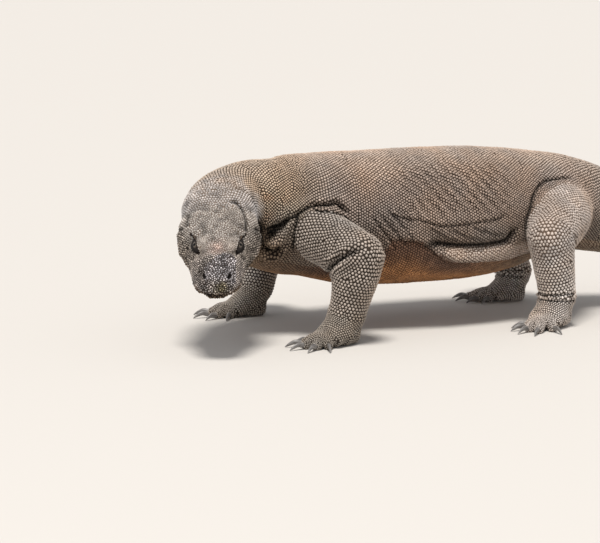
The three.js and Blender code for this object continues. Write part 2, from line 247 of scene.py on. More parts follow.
def form(row, rings, sides, fullness=plain_fullness, up=UP, start_dome=0.0, end_dome=0.0):
    """A closed mesh through a row of sections, each end flat or domed."""
    last = len(row) - 1
    leans = [math.pi / 2 * k / DOME_RINGS for k in range(1, DOME_RINGS)]
    plan = [(0.0, -start_dome * math.sin(lean), math.cos(lean)) for lean in reversed(leans) if start_dome]
    plan += [(last * k / rings, 0.0, 1.0) for k in range(rings + 1)]
    plan += [(last, end_dome * math.sin(lean), math.cos(lean)) for lean in leans if end_dome]
    plan = np.array(plan)
    angles = np.tile(evenly_round(sides), len(plan))
    places, beyond, share = (np.repeat(plan[:, k], sides) for k in range(3))
    points = wrap(row, places, angles, fullness, up, beyond, share)
    poles = wrap(row, np.array([0.0, last]), np.zeros(2), plain_fullness, up,
                 np.array([-start_dome, end_dome]), 0.0)
    ring = np.arange(sides)
    here, there = ring, (ring + 1) % sides
    faces = []
    for k in range(len(plan) - 1):
        a, b = k * sides, (k + 1) * sides
        faces.append(np.stack([a + here, b + here, a + there], 1))
        faces.append(np.stack([a + there, b + here, b + there], 1))
    tail = (len(plan) - 1) * sides
    start_pole, end_pole = len(points), len(points) + 1
    faces.append(np.stack([np.full(sides, start_pole), here, there], 1))
    faces.append(np.stack([np.full(sides, end_pole), tail + there, tail + here], 1))
    return np.vstack([points, poles]), np.vstack(faces)


SOLE = {"heel": 0.026, "instep": 0.022, "ball": 0.020}
TOE_ROOT_HEIGHT = 0.020
TOE_TIP_HEIGHT = 0.0095
CLAW_LENGTH = 0.034
CLAW_GAP = 0.0003
FORE_GIRTH = {"root": 0.062, "upper": 0.058, "joint": 0.053, "lower": 0.054, "ankle": 0.042}
HIND_GIRTH = {"root": 0.074, "upper": 0.066, "joint": 0.052, "lower": 0.050, "ankle": 0.042}
FORE_FOOT = {"reach": 0.060, "wide": 0.045, "radius": 0.014, "fan": [-62, -30, -4, 24, 56],
             "lengths": [0.032, 0.046, 0.052, 0.046, 0.034]}
HIND_FOOT = {"reach": 0.056, "wide": 0.046, "radius": 0.014, "fan": [-50, -24, -2, 22, 62],
             "lengths": [0.028, 0.042, 0.054, 0.058, 0.038]}
LEGS = {
    "fore_left": {"side": 1, "girth": FORE_GIRTH, "foot": FORE_FOOT, "heading": 16, "root": (-0.008, -0.112, 0.240),
                  "joint": (0.044, -0.238, 0.200), "ankle": (0.024, -0.216, 0.066)},
    "fore_right": {"side": -1, "girth": FORE_GIRTH, "foot": FORE_FOOT, "heading": -4, "root": (-0.008, 0.112, 0.240),
                   "joint": (0.004, 0.230, 0.190), "ankle": (-0.028, 0.204, 0.066)},
    "hind_left": {"side": 1, "girth": HIND_GIRTH, "foot": HIND_FOOT, "heading": 27, "root": (0.634, -0.100, 0.248),
                  "joint": (0.538, -0.222, 0.214), "ankle": (0.569, -0.207, 0.068)},
    "hind_right": {"side": -1, "girth": HIND_GIRTH, "foot": HIND_FOOT, "heading": -12, "root": (0.634, 0.100, 0.248),
                   "joint": (0.612, 0.222, 0.198), "ankle": (0.652, 0.148, 0.068)},
}


def level(point, height):
    return np.array([point[0], point[1], height])


def leg_rows(leg):
    """The sections of one leg: its two lengths, its palm and heel, and its toes and claws."""
    girth, foot = leg["girth"], leg["foot"]
    root, joint, ankle = (np.array(leg[k]) + SHIFT for k in ("root", "joint", "ankle"))
    heading = turned((-1, 0, 0), leg["heading"])
    ball = level(ankle + heading * foot["reach"], SOLE["ball"])
    rows = {
        "upper": np.array([
            section(lerp(root, joint, -0.45), girth["root"] * 0.9, girth["root"] * 0.9),
            section(root, girth["root"], girth["root"] * 1.02),
            section(lerp(root, joint, 0.5), girth["upper"], girth["upper"], girth["upper"] * 1.1),
            section(joint, girth["joint"], girth["joint"])]),
        "lower": np.array([
            section(joint, girth["joint"] * 0.96, girth["joint"] * 0.98),
            section(lerp(joint, ankle, 0.35), girth["lower"], girth["lower"]),
            section(lerp(joint, ankle, 0.75), girth["ankle"] * 1.05, girth["ankle"] * 1.08),
            section(ankle, girth["ankle"], girth["ankle"])]),
        "palm": np.array([
            section(level(ankle, ankle[2] + 0.004), girth["ankle"] * 0.98, girth["ankle"] * 0.9),
            section(level(lerp(ankle, ball, 0.45), lerp(ankle[2], SOLE["ball"], 0.55)),
                    foot["wide"] * 0.9, 0.030, 0.034),
            section(ball, foot["wide"], 0.020, 0.026)]),
        "heel": np.array([
            section(level(ankle - heading * 0.008, SOLE["heel"]), girth["ankle"] * 0.86, 0.026, 0.030),
            section(level(ankle + heading * 0.024, SOLE["instep"]), girth["ankle"] * 0.98, 0.024, 0.028)]),
        "toes": [], "claws": [], "heading": heading, "ball": ball,
        "hinge": unit(np.cross(joint - root, ankle - joint)),
    }
    rows["limb"] = np.vstack([rows["upper"], rows["lower"][1:]])
    for spread, length in zip(foot["fan"], foot["lengths"]):
        out = turned(heading, leg["side"] * spread)
        base = ball + out * foot["radius"]
        r = foot["radius"]
        rows["toes"].append(np.array([
            section(level(base - 0.35 * length * out, TOE_ROOT_HEIGHT), r * 1.15, r * 1.1),
            section(level(base + 0.30 * length * out, TOE_ROOT_HEIGHT), r * 0.98, r),
            section(level(base + 0.75 * length * out, TOE_TIP_HEIGHT), r * 0.84, r * 0.88),
            section(level(base + length * out, TOE_TIP_HEIGHT), r * 0.66, r * 0.70)]))
        tip = base + length * out
        rows["claws"].append(np.array([
            section(level(tip + CLAW_GAP * out, TOE_TIP_HEIGHT), r * 0.36, r * 0.50),
            section(level(tip + 0.35 * CLAW_LENGTH * out, TOE_TIP_HEIGHT), r * 0.30, r * 0.42),
            section(level(tip + 0.75 * CLAW_LENGTH * out, 0.0065), r * 0.18, r * 0.26),
            section(level(tip + CLAW_LENGTH * out, 0.0016), 0.0009, 0.0011)]))
    return rows


legs = {name: leg_rows(leg) for name, leg in LEGS.items()}

# ---------------------------------------------------------------------------------------------------------------
# Skin: one closed hide over the whole animal. Each form is turned into distances on a fine lattice, the distances
# are joined with soft hollows where parts meet, and the surface is drawn just inside the solids, by the depth of
# the scales. It is then made finer where the hide is folded and on the head.
# ---------------------------------------------------------------------------------------------------------------

COAT_DEPTH = 0.0022
LATTICE = 0.004
REACH = 10                          # lattice steps on each side of a surface that are measured
FAR = LATTICE * REACH
LATTICE_MARGIN = 8
SKIN_STEP = 0.0092

lattice_low = np.floor(np.array(cad_low) / LATTICE).astype(int) - LATTICE_MARGIN
lattice_high = np.ceil(np.array(cad_high) / LATTICE).astype(int) + LATTICE_MARGIN
lattice_size = lattice_high - lattice_low + 1
transform = openvdb.createLinearTransform(voxelSize=LATTICE)


def distances(row, rings, sides, **options):
    """How far each lattice point near a form is from its surface, less than nothing inside, and where that box is."""
    points, faces = form(row, rings, sides, **options)
    grid = openvdb.FloatGrid.createLevelSetFromPolygons(
        points.astype(np.float32), triangles=faces.astype(np.uint32), transform=transform, halfWidth=REACH)
    a = np.maximum(np.floor(points.min(0) / LATTICE).astype(int) - REACH, lattice_low)
    b = np.minimum(np.ceil(points.max(0) / LATTICE).astype(int) + REACH, lattice_high) + 1
    values = np.full(b - a, FAR, np.float32)
    grid.copyToArray(values, ijk=tuple(int(v) for v in a))
    return values, a - lattice_low


def join(whole, part, hollow):
    """Adds a form to the whole in place, with a rounded hollow of that size where they meet."""
    values, at = part
    box = tuple(slice(a, a + n) for a, n in zip(at, values.shape))
    old = whole[box]
    h = np.maximum(hollow - np.abs(old - values), 0.0) / hollow
    whole[box] = np.minimum(old, values) - h * h * hollow * 0.25


# How wide the hollow is where forms meet.
HOLLOWS = {"head": 0.010, "limb": 0.026, "joint": 0.012, "foot": 0.015, "toe": 0.005}
body = np.full(lattice_size, FAR, np.float32)
join(body, distances(spine_row, 260, 72, fullness=spine_fullness, end_dome=0.006), HOLLOWS["head"])
join(body, distances(head_row, 60, 72, fullness=head_fullness, end_dome=0.04 * HEAD_LENGTH), HOLLOWS["head"])
for name, rows in legs.items():
    girth = LEGS[name]["girth"]
    parts = [
        (distances(rows["upper"], 24, 36, start_dome=girth["root"] * 0.4, end_dome=girth["joint"] * 0.95), "joint"),
        (distances(rows["lower"], 24, 36, up=rows["heading"], start_dome=girth["joint"] * 0.85,
                   end_dome=girth["ankle"] * 0.8), "joint"),
        (distances(rows["palm"], 20, 36, end_dome=0.016), "foot"),
        (distances(rows["heel"], 8, 32, start_dome=0.014, end_dome=0.012), "foot"),
        *[(distances(toe, 20, 24), "toe") for toe in rows["toes"]],
    ]
    limb_low = np.min([at for (values, at), _ in parts], 0)
    limb_high = np.max([at + values.shape for (values, at), _ in parts], 0)
    limb = np.full(limb_high - limb_low, FAR, np.float32)
    for (values, at), kind in parts:
        join(limb, (values, at - limb_low), HOLLOWS[kind])
    join(body, (limb, limb_low), HOLLOWS["limb"])
# The scales are finer towards the tip of the tail, so the skin comes closer to the solid there.
lengths = (lattice_low[0] + np.arange(lattice_size[0])) * LATTICE
heights = (lattice_low[2] + np.arange(lattice_size[2])) * LATTICE
TIP_START, TIP_END, TIP_CLOSER = 0.85, 1.10, 0.85
slender = smooth(lengths, TIP_START, TIP_END)[:, None, None].astype(np.float32)
body = np.maximum(body + COAT_DEPTH * (1 - TIP_CLOSER * slender), COAT_DEPTH / 2 - heights[None, None, :])


def sample(points):
    """The distance from the skin at any points, with the direction in which it grows."""
    q = points / LATTICE - lattice_low
    q = np.clip(q, 0.001, lattice_size - 1.001)
    k = np.floor(q).astype(int)
    w = q - k
    corners = [[[body[k[:, 0] + i, k[:, 1] + j, k[:, 2] + m] for m in (0, 1)] for j in (0, 1)] for i in (0, 1)]
    x, y, z = w.T
    value = 0
    slope = np.zeros_like(points)
    for i in (0, 1):
        for j in (0, 1):
            for m in (0, 1):
                a, b, c = (x if i else 1 - x), (y if j else 1 - y), (z if m else 1 - z)
                d = corners[i][j][m]
                value = value + a * b * c * d
                slope[:, 0] += (1 if i else -1) * b * c * d
                slope[:, 1] += (1 if j else -1) * a * c * d
                slope[:, 2] += (1 if m else -1) * a * b * d
    return value, slope / LATTICE


def settle(points, rounds=3):
    """Moves points straight onto the skin."""
    points = points.copy()
    for _ in range(rounds):
        value, slope = sample(points)
        steep = np.maximum((slope ** 2).sum(1, keepdims=True), 0.05)
        points -= np.clip(value[:, None] * slope / steep, -LATTICE, LATTICE)
    return points


def resampled(values, axis, positions):
    """The lattice's values at other positions along one axis."""
    q = positions / LATTICE - lattice_low[axis]
    k = np.clip(np.floor(q).astype(int), 0, values.shape[axis] - 2)
    w = (q - k).reshape([-1 if n == axis else 1 for n in range(3)])
    return values.take(k, axis) * (1 - w) + values.take(k + 1, axis) * w


coarse_axes = [np.arange(a * LATTICE, b * LATTICE, SKIN_STEP) for a, b in zip(lattice_low, lattice_high)]
coarse = body
for axis, positions in enumerate(coarse_axes):
    coarse = resampled(coarse, axis, positions)
# The tail's end is thinner than the steps, so it is drawn fatter and then settles onto the skin.
TIP_FATTER = 0.006
coarse = coarse - TIP_FATTER * smooth(coarse_axes[0], TIP_START, TIP_END)[:, None, None]
coarse_grid = openvdb.FloatGrid(FAR)
coarse_grid.copyFromArray(coarse.astype(np.float32))
skin_points, skin_quads = coarse_grid.convertToQuads(isovalue=0.0)
skin_points = settle(skin_points * SKIN_STEP + np.array([a[0] for a in coarse_axes]), rounds=6)
a, b, c, d = (skin_points[skin_quads[:, k]] for k in range(4))
if ((a * np.cross(b, c)).sum(1) + (a * np.cross(c, d)).sum(1)).sum() < 0:
    skin_quads = skin_quads[:, ::-1]

skin_bm = bmesh.new()
for point in skin_points.tolist():
    skin_bm.verts.new(point)
skin_bm.verts.ensure_lookup_table()
for quad in skin_quads.tolist():
    skin_bm.faces.new([skin_bm.verts[k] for k in quad])


def skin_places():
    return np.array([v.co[:] for v in skin_bm.verts])


def put_skin(points):
    for vert, point in zip(skin_bm.verts, points):
        vert.co = point


def refine(wanted):
    """Splits the faces that have a wanted vertex into four, and moves the new vertices onto the skin."""
    skin_bm.verts.ensure_lookup_table()
    skin_bm.verts.index_update()
    edges = [e for e in skin_bm.edges if wanted[e.verts[0].index] and wanted[e.verts[1].index]]
    bmesh.ops.subdivide_edges(skin_bm, edges=edges, cuts=1, use_grid_fill=True)
    skin_bm.verts.ensure_lookup_table()
    put_skin(settle(skin_places()))


# Lines that the hide folds along on the flanks, as places along the spine row and degrees above the flank's middle.
# Each has the depth and half width of its hollow, then the height, distance and half width of the roll beside it and
# how far the roll leans over the hollow, in millimetres. A roll lies above its hollow where its distance is more
# than nothing. A hollow of less than nothing is a ridge.
FLANK_FOLDS = {
    "shoulder": ([(2.10, -28), (2.73, -20), (3.20, -12), (3.57, -2), (3.77, 2), (3.97, 8), (4.50, 16), (4.93, 18),
                  (5.17, 20), (5.40, 14), (5.62, 8)], 12, 6, 5, 12, 8, 3),
    "scarf": ([(4.45, 13), (4.68, 9), (4.97, 6), (5.30, 6), (5.60, 3)], 9, 4.5, 0, 0, 1, 0),
    "pocket_end": ([(3.45, -8), (3.15, -15), (2.85, -21), (2.50, -25)], 10, 11, 0, 0, 1, 0),
    "behind_jaw": ([(0.90, -4), (1.20, -12), (1.70, -23), (2.27, -34), (2.63, -42), (2.80, -52)], 9, 7, 0, 0, 1, 0),
    "pocket": ([(3.72, 0), (3.52, -9), (3.27, -18), (2.95, -26), (2.55, -29)], 16, 8, 0, 0, 1, 0),
    "strap": ([(3.76, 0), (3.75, -12), (3.70, -24), (3.50, -31), (2.90, -35)], -12, 6, 0, 0, 1, 0),
    "gullet": ([(2.75, -46), (3.30, -43), (3.72, -40), (3.80, -30)], 13, 5, 0, 0, 1, 0),
    "dewlap": ([(2.90, -51), (3.62, -50), (3.83, -44), (3.88, -34), (3.90, -24)], -10, 7, 0, 0, 1, 0),
    "chest_front": ([(3.92, 8), (3.96, -4), (4.00, -14), (4.06, -24), (4.15, -33)], 10, 4, 0, 0, 1, 0),
    "armpit": ([(6.06, 9), (6.20, 4), (6.37, -4), (6.60, -14), (6.72, -22)], 5, 3.5, 3, -8, 5, 2),
    "armpit_middle": ([(6.30, 10), (6.57, -2), (6.80, -10), (6.95, -18)], 4, 3.5, 2, -8, 5, 1),
    "armpit_rear": ([(6.50, 12), (6.80, 0), (7.07, -10)], 3.5, 3.5, 2, -8, 5, 1),
    "upper_flank": ([(6.45, 13), (6.60, 10), (6.93, 6), (7.30, 4), (7.60, 0), (7.93, -1), (8.43, 0), (9.03, 2),
                     (9.50, 6)], 5, 3.5, 3, 12, 9, 3),
    "wrinkle_front": ([(7.40, -2), (7.60, -6), (7.93, -12), (8.23, -14)], 3.5, 3.5, 1.5, 8, 6, 1),
    "wrinkle_middle": ([(7.85, -3), (8.03, -6), (8.40, -12), (8.77, -15)], 3, 3.5, 1.5, 8, 6, 1),
    "wrinkle_rear": ([(8.45, -3), (8.63, -6), (8.93, -10), (9.30, -13)], 3, 3.5, 1.5, 8, 6, 1),
    "flap_top": ([(7.20, -13), (7.70, -16), (8.00, -18), (8.47, -20), (8.83, -20), (9.30, -19), (9.50, -13),
                  (9.62, -6)], 15, 9, 8, -19, 10, 3),
    "flap": ([(6.60, -12), (6.93, -11), (7.23, -13), (7.67, -24), (8.10, -32), (8.77, -34), (9.40, -36),
              (10.13, -38)], 12, 5, 7, 11, 8, 8),
    "neck_bend": ([(3.55, 96), (3.63, 82), (3.70, 68), (3.77, 56), (3.87, 46), (3.88, 36), (3.90, 26)],
                  -4.5, 13, 0, 0, 1, 0),
    "groin": ([(11.90, 36), (11.37, 34), (10.77, 32), (10.33, 22), (10.07, 8), (9.93, -2), (9.97, -22)],
              8, 5, 1.5, 11, 8, 2),
}


def spine_point(place, degrees):
    return wrap(spine_row, np.array([place]), np.radians([degrees]), spine_fullness)[0]


LINE_STEPS = 8


def eased(points):
    """A finer line through a few points."""
    points = np.asarray(points, float)
    return along(points, np.linspace(0, len(points) - 1, (len(points) - 1) * LINE_STEPS + 1))[0]


folds = []                          # each with its line, its side, its sizes, and whether it has a roll on both sides
for stops, *sizes in FLANK_FOLDS.values():
    for flank in (1, -1):
        line = eased([spine_point(place, deg if flank == 1 else 180 - deg) for place, deg in stops])
        folds.append((settle(line), flank, sizes, False))


def first_met(outer, inner, steps=64):
    """Where straight lines from outside first meet the skin."""
    ladder = outer[:, None] + (inner - outer)[:, None] * np.linspace(0, 1, steps)[None, :, None]
    inside = sample(ladder.reshape(-1, 3))[0].reshape(len(outer), steps) < 0
    return settle(ladder[np.arange(len(outer)), inside.argmax(1)])


# The crook of each elbow and knee, and two creases over each hind ankle. These have a roll on both sides.
CROOKS = {"fore": (15, 7.5, 5, 15, 8, 1), "hind": (7, 6, 2, 14, 8, 1)}
CROOK_TURN = {"fore": 150, "hind": 95}      # how far round the limb it goes to each side
ANKLE_CREASE = (5.5, 3, 2, 7, 4, 1)
ANKLE_TURN = 125
ANKLE_HEIGHTS = {"fore": (), "hind": (-0.003, 0.012)}
for name, leg in LEGS.items():
    root, joint, ankle = (np.array(leg[k]) + SHIFT for k in ("root", "joint", "ankle"))
    inner = unit((root + ankle) / 2 - joint)
    hinge = unit(np.cross(joint - root, ankle - joint))
    turns = np.radians(np.linspace(-1, 1, 31) * CROOK_TURN[name[:4]])[:, None]
    way = leg["girth"]["joint"] * (np.cos(turns) * inner + np.sin(turns) * hinge)
    folds.append((first_met(joint + 1.7 * way, joint + 0.2 * way), 1, CROOKS[name[:4]], True))
    ahead = turned((-1, 0, 0), leg["heading"])
    aside = np.cross(UP, ahead)
    for height in ANKLE_HEIGHTS[name[:4]]:
        turns = np.radians(np.linspace(-ANKLE_TURN, ANKLE_TURN, 25))[:, None]
        line = ankle + UP * height + leg["girth"]["ankle"] * (np.cos(turns) * ahead + np.sin(turns) * aside)
        folds.append((settle(line, rounds=12), 1, ANKLE_CREASE, True))


def off_line(points, normals, line):
    """How far points are from a line, more than nothing on its upper side, how far along it they lie, and the
    directions away from it."""
    a, step = line[:-1], line[1:] - line[:-1]
    length = np.maximum((step ** 2).sum(1), 1e-12)
    best = np.full(len(points), 1e9)
    across, progress, away = np.zeros(len(points)), np.zeros(len(points)), np.zeros((len(points), 3))
    for k in range(len(a)):
        way = points - a[k]
        t = np.clip(way @ step[k] / length[k], 0, 1)
        off = way - t[:, None] * step[k]
        d = (off ** 2).sum(1)
        nearer = d < best
        sign = np.sign((np.cross(normals[nearer], step[k]) * off[nearer]).sum(1))
        best[nearer] = d[nearer]
        across[nearer] = sign * np.sqrt(d[nearer])
        progress[nearer] = (k + t[nearer]) / len(a)
        away[nearer] = off[nearer]
    return across, progress, unit(away)


# Hollows, rolls and muscles of the head, in the head's frame and in millimetres, each on both sides. A line has the
# same sizes as a fold; a swelling has its middle, its radius and its height; a pit its middle, the way it runs, its
# half length, half width and depth.
MM = 0.001
EYE_WAY = unit(np.array([0.38, 0.58, 0.72]))
BALL = 18.0
EYE = EYE_PLACE / MM - (BALL - EYE_RADIUS / MM) * EYE_WAY - (0, 1.5, 0)
HEAD_FOLDS = {
    "temple_left": ([(-2, 22, 57), (0, 34, 56), (6, 45, 54), (18, 53, 52), (34, 58, 49), (52, 61, 45), (70, 62, 40),
                     (84, 62, 36)], 8.0, 5.0, 3.8, 12, 8, 0.5),
    "temple_right": ([(24, 66, 46), (36, 68, 42), (50, 68, 38), (64, 67, 35)], 6.0, 4.4, 3.0, 11, 8, 0.5),
    "brow": ([(84, 59, 37), (100, 54.5, 38.5), (120, 48.5, 38), (140, 44.5, 32.5), (156, 43, 25)],
             1.5, 2.4, 3.6, 5, 5, 2.2),
    "corner_front": ([(134, 51, 31), (144, 49, 25), (153, 48, 21), (160, 46, 18)], 1.5, 2.6, 0, 0, 1, 0),
    "corner_rear": ([(112, 55, 37), (103, 57, 37), (94, 59, 36), (86, 61, 34)], 1.2, 2.6, 0, 0, 1, 0),
    "canthus": ([(158, 43, 26), (176, 40.5, 21), (200, 37, 15)], -2.6, 3.2, 0, 0, 1, 0),
    "cheek": ([(90, 70, 14), (86, 74, 3), (88, 76, -12)], 3.2, 4.4, 2.2, 9, 6, 1),
    "jowl": ([(62, 74, 28), (48, 82, 12), (44, 86, -8), (50, 86, -26)], 6.5, 4.4, 2.6, 10, 6, 1),
    "under_eye": ([(104, 62, 17), (120, 60, 12), (138, 56, 9), (154, 51, 10)], 2.6, 3.0, 1.8, 6, 4, 0),
    "lip": ([(92, 71, -12), (120, 65, -8), (150, 56, -8), (180, 48, -12), (205, 42, -12)], 2.0, 2.4, 0, 0, 1, 0),
}
# Round the almond of each eye the lids are painted near-black: their own dark skin, darkened further as painted shade
# from the brow.
ALMOND = [(84, 61.5, 35.5), (96, 57.5, 35), (108, 53.5, 33), (120, 50.7, 30), (132, 49, 27.5), (143, 47.7, 25),
          (157, 46.8, 21)]
ALMOND_HALF_WIDTH = 5.6             # of the bare dark lids, corner to corner
MOUTH = (7.0, 3.6, 2.6, 8.5, 4.5)   # depth and half width of the slit, then height, distance and half width of a lip
LOWER_LIP = 0.4                     # as a share of the upper one's height
MOUTH_START, MOUTH_TURN, MOUTH_END, SNOUT_TIP = 86, 192, 236, 239.5
SWELLINGS = [
    ((40, 34, 56), 22, 2.6),        # temple muscle
    ((58, 80, -18), 26, 3.5),       # jaw muscle
    ((138, 0, 45), 15, -2.2),       # hollow of the brow
    ((180, 0, 33), 22, 1.2),        # bridge of the snout
    ((10, 78, -40), 26, 4.0),       # jowl
    ((108, 64, -32), 22, 5.0),      # loose hide at the corner of the mouth
]
NOSTRIL = (209, 29, 14)
PITS = [
    (NOSTRIL, (16, -9, -5), 9.5, 4.8, 9.0),
    ((34, 84, 4), (2, 0, 9), 8.0, 4.5, 5.0),            # ear
]
PIT_REACH = 30
PIT_RIM = (0.9, 1.7, 0.45)          # its height, then its distance and half width in half widths of the pit

rng = np.random.default_rng(7)
NOISE_TABLE = rng.random(4096)


def mottle(points, size, layers=3):
    """Soft patches of light and dark from 0 to 1, about size across, at any points."""
    total, weight = 0.0, 0.0
    for layer in range(layers):
        q = points / (size / 2 ** layer) + 31.7 * layer
        k = np.floor(q).astype(np.int64)
        w = q - k
        w = w * w * (3 - 2 * w)
        value = 0.0
        for i in (0, 1):
            for j in (0, 1):
                for m in (0, 1):
                    spot = ((k[:, 0] + i) * 73856093 ^ (k[:, 1] + j) * 19349663 ^ (k[:, 2] + m) * 83492791) % 4096
                    share = ((w[:, 0] if i else 1 - w[:, 0]) * (w[:, 1] if j else 1 - w[:, 1])
                             * (w[:, 2] if m else 1 - w[:, 2]))
                    value = value + share * NOISE_TABLE[spot]
        total = total + value * 0.5 ** layer
        weight += 0.5 ** layer
    return total / weight


def bow(start, middle, end, share):
    return lerp(lerp(start, middle, share), lerp(middle, end, share), share)


def mouth_height(along_head):
    """The mouth's line seen from the side: up from the corner of the jaws, down, and up again to the lips."""
    rear = bow(-26, -14, -24, np.clip((along_head - 84) / 108, 0, 1))
    front = bow(-24, -29, -14, np.clip((along_head - MOUTH_TURN) / 88, 0, 1))
    return np.where(along_head < MOUTH_TURN, rear, front)


def mouth_line():
    """Round the snout on the skin, from one corner to the other."""
    u = np.concatenate([np.linspace(MOUTH_START, MOUTH_END, 34), [SNOUT_TIP]])
    middle = np.stack([u, np.zeros(len(u)), mouth_height(u)], 1)
    left, right = (first_met(from_head((middle + (0, outside, 0)) * MM), from_head(middle * MM), 96)
                   for outside in (95, -95))
    return np.vstack([left, right[::-1]])


FOLD_ENDS = 0.14                    # the share of a fold's length over which it fades out at each end
# A fold paints shade deep in its hollow and light on its roll and along a ridge; these set where that is strongest
# and how strong a roll's painted light is.
DEEP_FOLD, HIGH_ROLL = 7, 8         # millimetres at which a fold is as dark, or a roll as pale, as it gets
ROLL_SHADE = 0.28


def fold_shift(points, normals, line, sizes, flank, both=False):
    """How a fold moves points, a hollow along the line with a roll beside it that leans over it, and its painted
    shade:
    1 deep in the hollow, and less than nothing on the roll and on a ridge, where it is painted light."""
    depth, width, roll, distance, breadth, lean = sizes
    across, progress, away = off_line(points, normals, line)
    across = np.abs(across) / MM if both else across * flank / MM
    fade = smooth(progress, 0, FOLD_ENDS) * (1 - smooth(progress, 1 - FOLD_ENDS, 1))
    hollow = hump(across, 0, width)
    lift = fade * (roll * hump(across, distance, breadth) - depth * hollow)
    shut = fade * lean * hump(across, distance * 0.6, breadth)
    shade = hollow * (min(depth / DEEP_FOLD, 1.0) if depth > 0 else depth / (width * 2))
    shade = shade - ROLL_SHADE * min(1.0, roll / HIGH_ROLL) * hump(across, distance, breadth)
    return (normals * lift[:, None] - away * shut[:, None]) * MM, fade * shade


def stronger(a, b):
    return np.where(np.abs(b) > np.abs(a), b, a)


FOLD_REACH = 0.045                  # beyond this a fold moves nothing


def near_box(points, line):
    return ((points > line.min(0) - FOLD_REACH) & (points < line.max(0) + FOLD_REACH)).all(1)


def line_on_head(stops, flank):
    return settle(from_head(eased([(u, v * flank, w) for u, v, w in stops]) * MM))


head_lines = []
for name, (stops, *sizes) in HEAD_FOLDS.items():
    for flank in (1,) if name.endswith("left") else (-1,) if name.endswith("right") else (1, -1):
        head_lines.append((line_on_head(stops, flank), flank, sizes))
almonds = [line_on_head(ALMOND, flank) for flank in (1, -1)]
mouth = mouth_line()


def tree_of(points):
    tree = KDTree(len(points))
    for k, point in enumerate(points):
        tree.insert(point, k)
    tree.balance()
    return tree


def reach_to(tree, points):
    return np.array([tree.find(point)[2] for point in points])


fold_tree = tree_of(np.vstack([line for line, *_ in folds]))
crease_tree = tree_of(np.vstack([line for line, *_ in head_lines] + [mouth]))
mouth_tree = tree_of(mouth)
almond_tree = tree_of(np.vstack(almonds))


def off_feature(of_head, feature):
    """How far points of the head's frame are from an eye or a nostril, whichever side they are on, in millimetres."""
    u, v, w = of_head.T
    return np.linalg.norm(np.stack([u, np.abs(v), w], 1) - feature, axis=1)


def skin_and_head():
    """The skin's points, in the model and in the head's frame in millimetres."""
    points = skin_places()
    return points, to_head(points) / MM


# Finer steps near folds, on the head and on the feet, then again close to the folds and on the face, and once more
# round the eyes, the nostrils and the mouth.
NAPE_START, FACE_START = -30, 78
FOOT_TOP, FEET_REAR = 0.055, 0.75
NEAR_FOLD, BY_FOLD, NEAR_CREASE, BY_MOUTH, BY_LIDS = 0.017, 0.0065, 0.012, 0.0045, 0.006
BY_EYE, BY_NOSTRIL = 27, 13.5
points, of_head = skin_and_head()
refine((reach_to(fold_tree, points) < NEAR_FOLD) | (of_head[:, 0] > NAPE_START)
       | ((points[:, 2] < FOOT_TOP) & (points[:, 0] < SHIFT[0] + FEET_REAR)))
points, of_head = skin_and_head()
refine((reach_to(fold_tree, points) < BY_FOLD) | (of_head[:, 0] > FACE_START)
       | ((of_head[:, 0] > NAPE_START) & (reach_to(crease_tree, points) < NEAR_CREASE)))
points, of_head = skin_and_head()
refine((off_feature(of_head, EYE) < BY_EYE) | (off_feature(of_head, NOSTRIL) < BY_NOSTRIL)
       | (reach_to(mouth_tree, points) < BY_MOUTH) | (reach_to(almond_tree, points) < BY_LIDS))

points, of_head = skin_and_head()
normals = unit(sample(points)[1])
shift, painted_fold_shade_and_light = np.zeros_like(points), np.zeros(len(points))
for line, flank, sizes, both in folds:
    near = near_box(points, line)
    moved, shade = fold_shift(points[near], normals[near], line, sizes, flank, both)
    shift[near] += moved
    painted_fold_shade_and_light[near] = stronger(painted_fold_shade_and_light[near], shade)
lid_skin, hole = np.zeros(len(points)), np.zeros(len(points))
for line, flank, sizes in head_lines:
    near = near_box(points, line)
    moved, shade = fold_shift(points[near], normals[near], line, sizes, -flank)
    shift[near] += moved
    painted_fold_shade_and_light[near] = stronger(painted_fold_shade_and_light[near], shade)
for line in almonds:
    near = near_box(points, line)
    across, progress, _ = off_line(points[near], normals[near], line)
    half_width = ALMOND_HALF_WIDTH * (4 * progress * (1 - progress)) ** 0.45
    lid_skin[near] = np.maximum(lid_skin[near], 1 - smooth(np.abs(across) / MM - half_width, -1.0, 2.0))
near = near_box(points, mouth)
across, progress, _ = off_line(points[near], normals[near], mouth)
above = of_head[near, 2] > mouth_height(of_head[near, 0])
depth, width, roll, distance, breadth = MOUTH
gape = hump(across / MM, 0, width)
shift[near] += normals[near] * ((roll * hump(np.abs(across) / MM, distance, breadth) * np.where(above, 1, LOWER_LIP)
                                 - depth * gape) * MM)[:, None]
# Painted shade in the mouth's slit, near-black where the slit is deepest.
painted_fold_shade_and_light[near] = np.maximum(painted_fold_shade_and_light[near], gape)
hole[near] = smooth(gape, 0.45, 0.8)
lift = np.zeros(len(points))
for middle, radius, height in SWELLINGS:
    for flank in (1, -1):
        off = of_head - np.array(middle) * (1, flank, 1)
        lift += height * MM * np.exp(-(off ** 2).sum(1) / radius ** 2) / (2 if middle[1] == 0 else 1)
normals_of_head = normals @ HEAD_TURN
for middle, way, length, width, depth in PITS:
    for flank in (1, -1):
        off = of_head - np.array(middle) * (1, flank, 1)
        near = (off ** 2).sum(1) < PIT_REACH ** 2
        long = unit(np.array(way, float) * (1, flank, 1))
        wide = unit(np.cross(normals_of_head[near], long))
        ring = np.hypot(off[near] @ long / length, (off[near] * wide).sum(1) / width)
        lift[near] += (-depth * np.exp(-ring ** 3) + PIT_RIM[0] * hump(ring, *PIT_RIM[1:])) * MM
        # Painted shade: the nostril and ear pits are near-black inside.
        hole[near] = np.maximum(hole[near], smooth(np.exp(-ring ** 3), 0.3, 0.6))
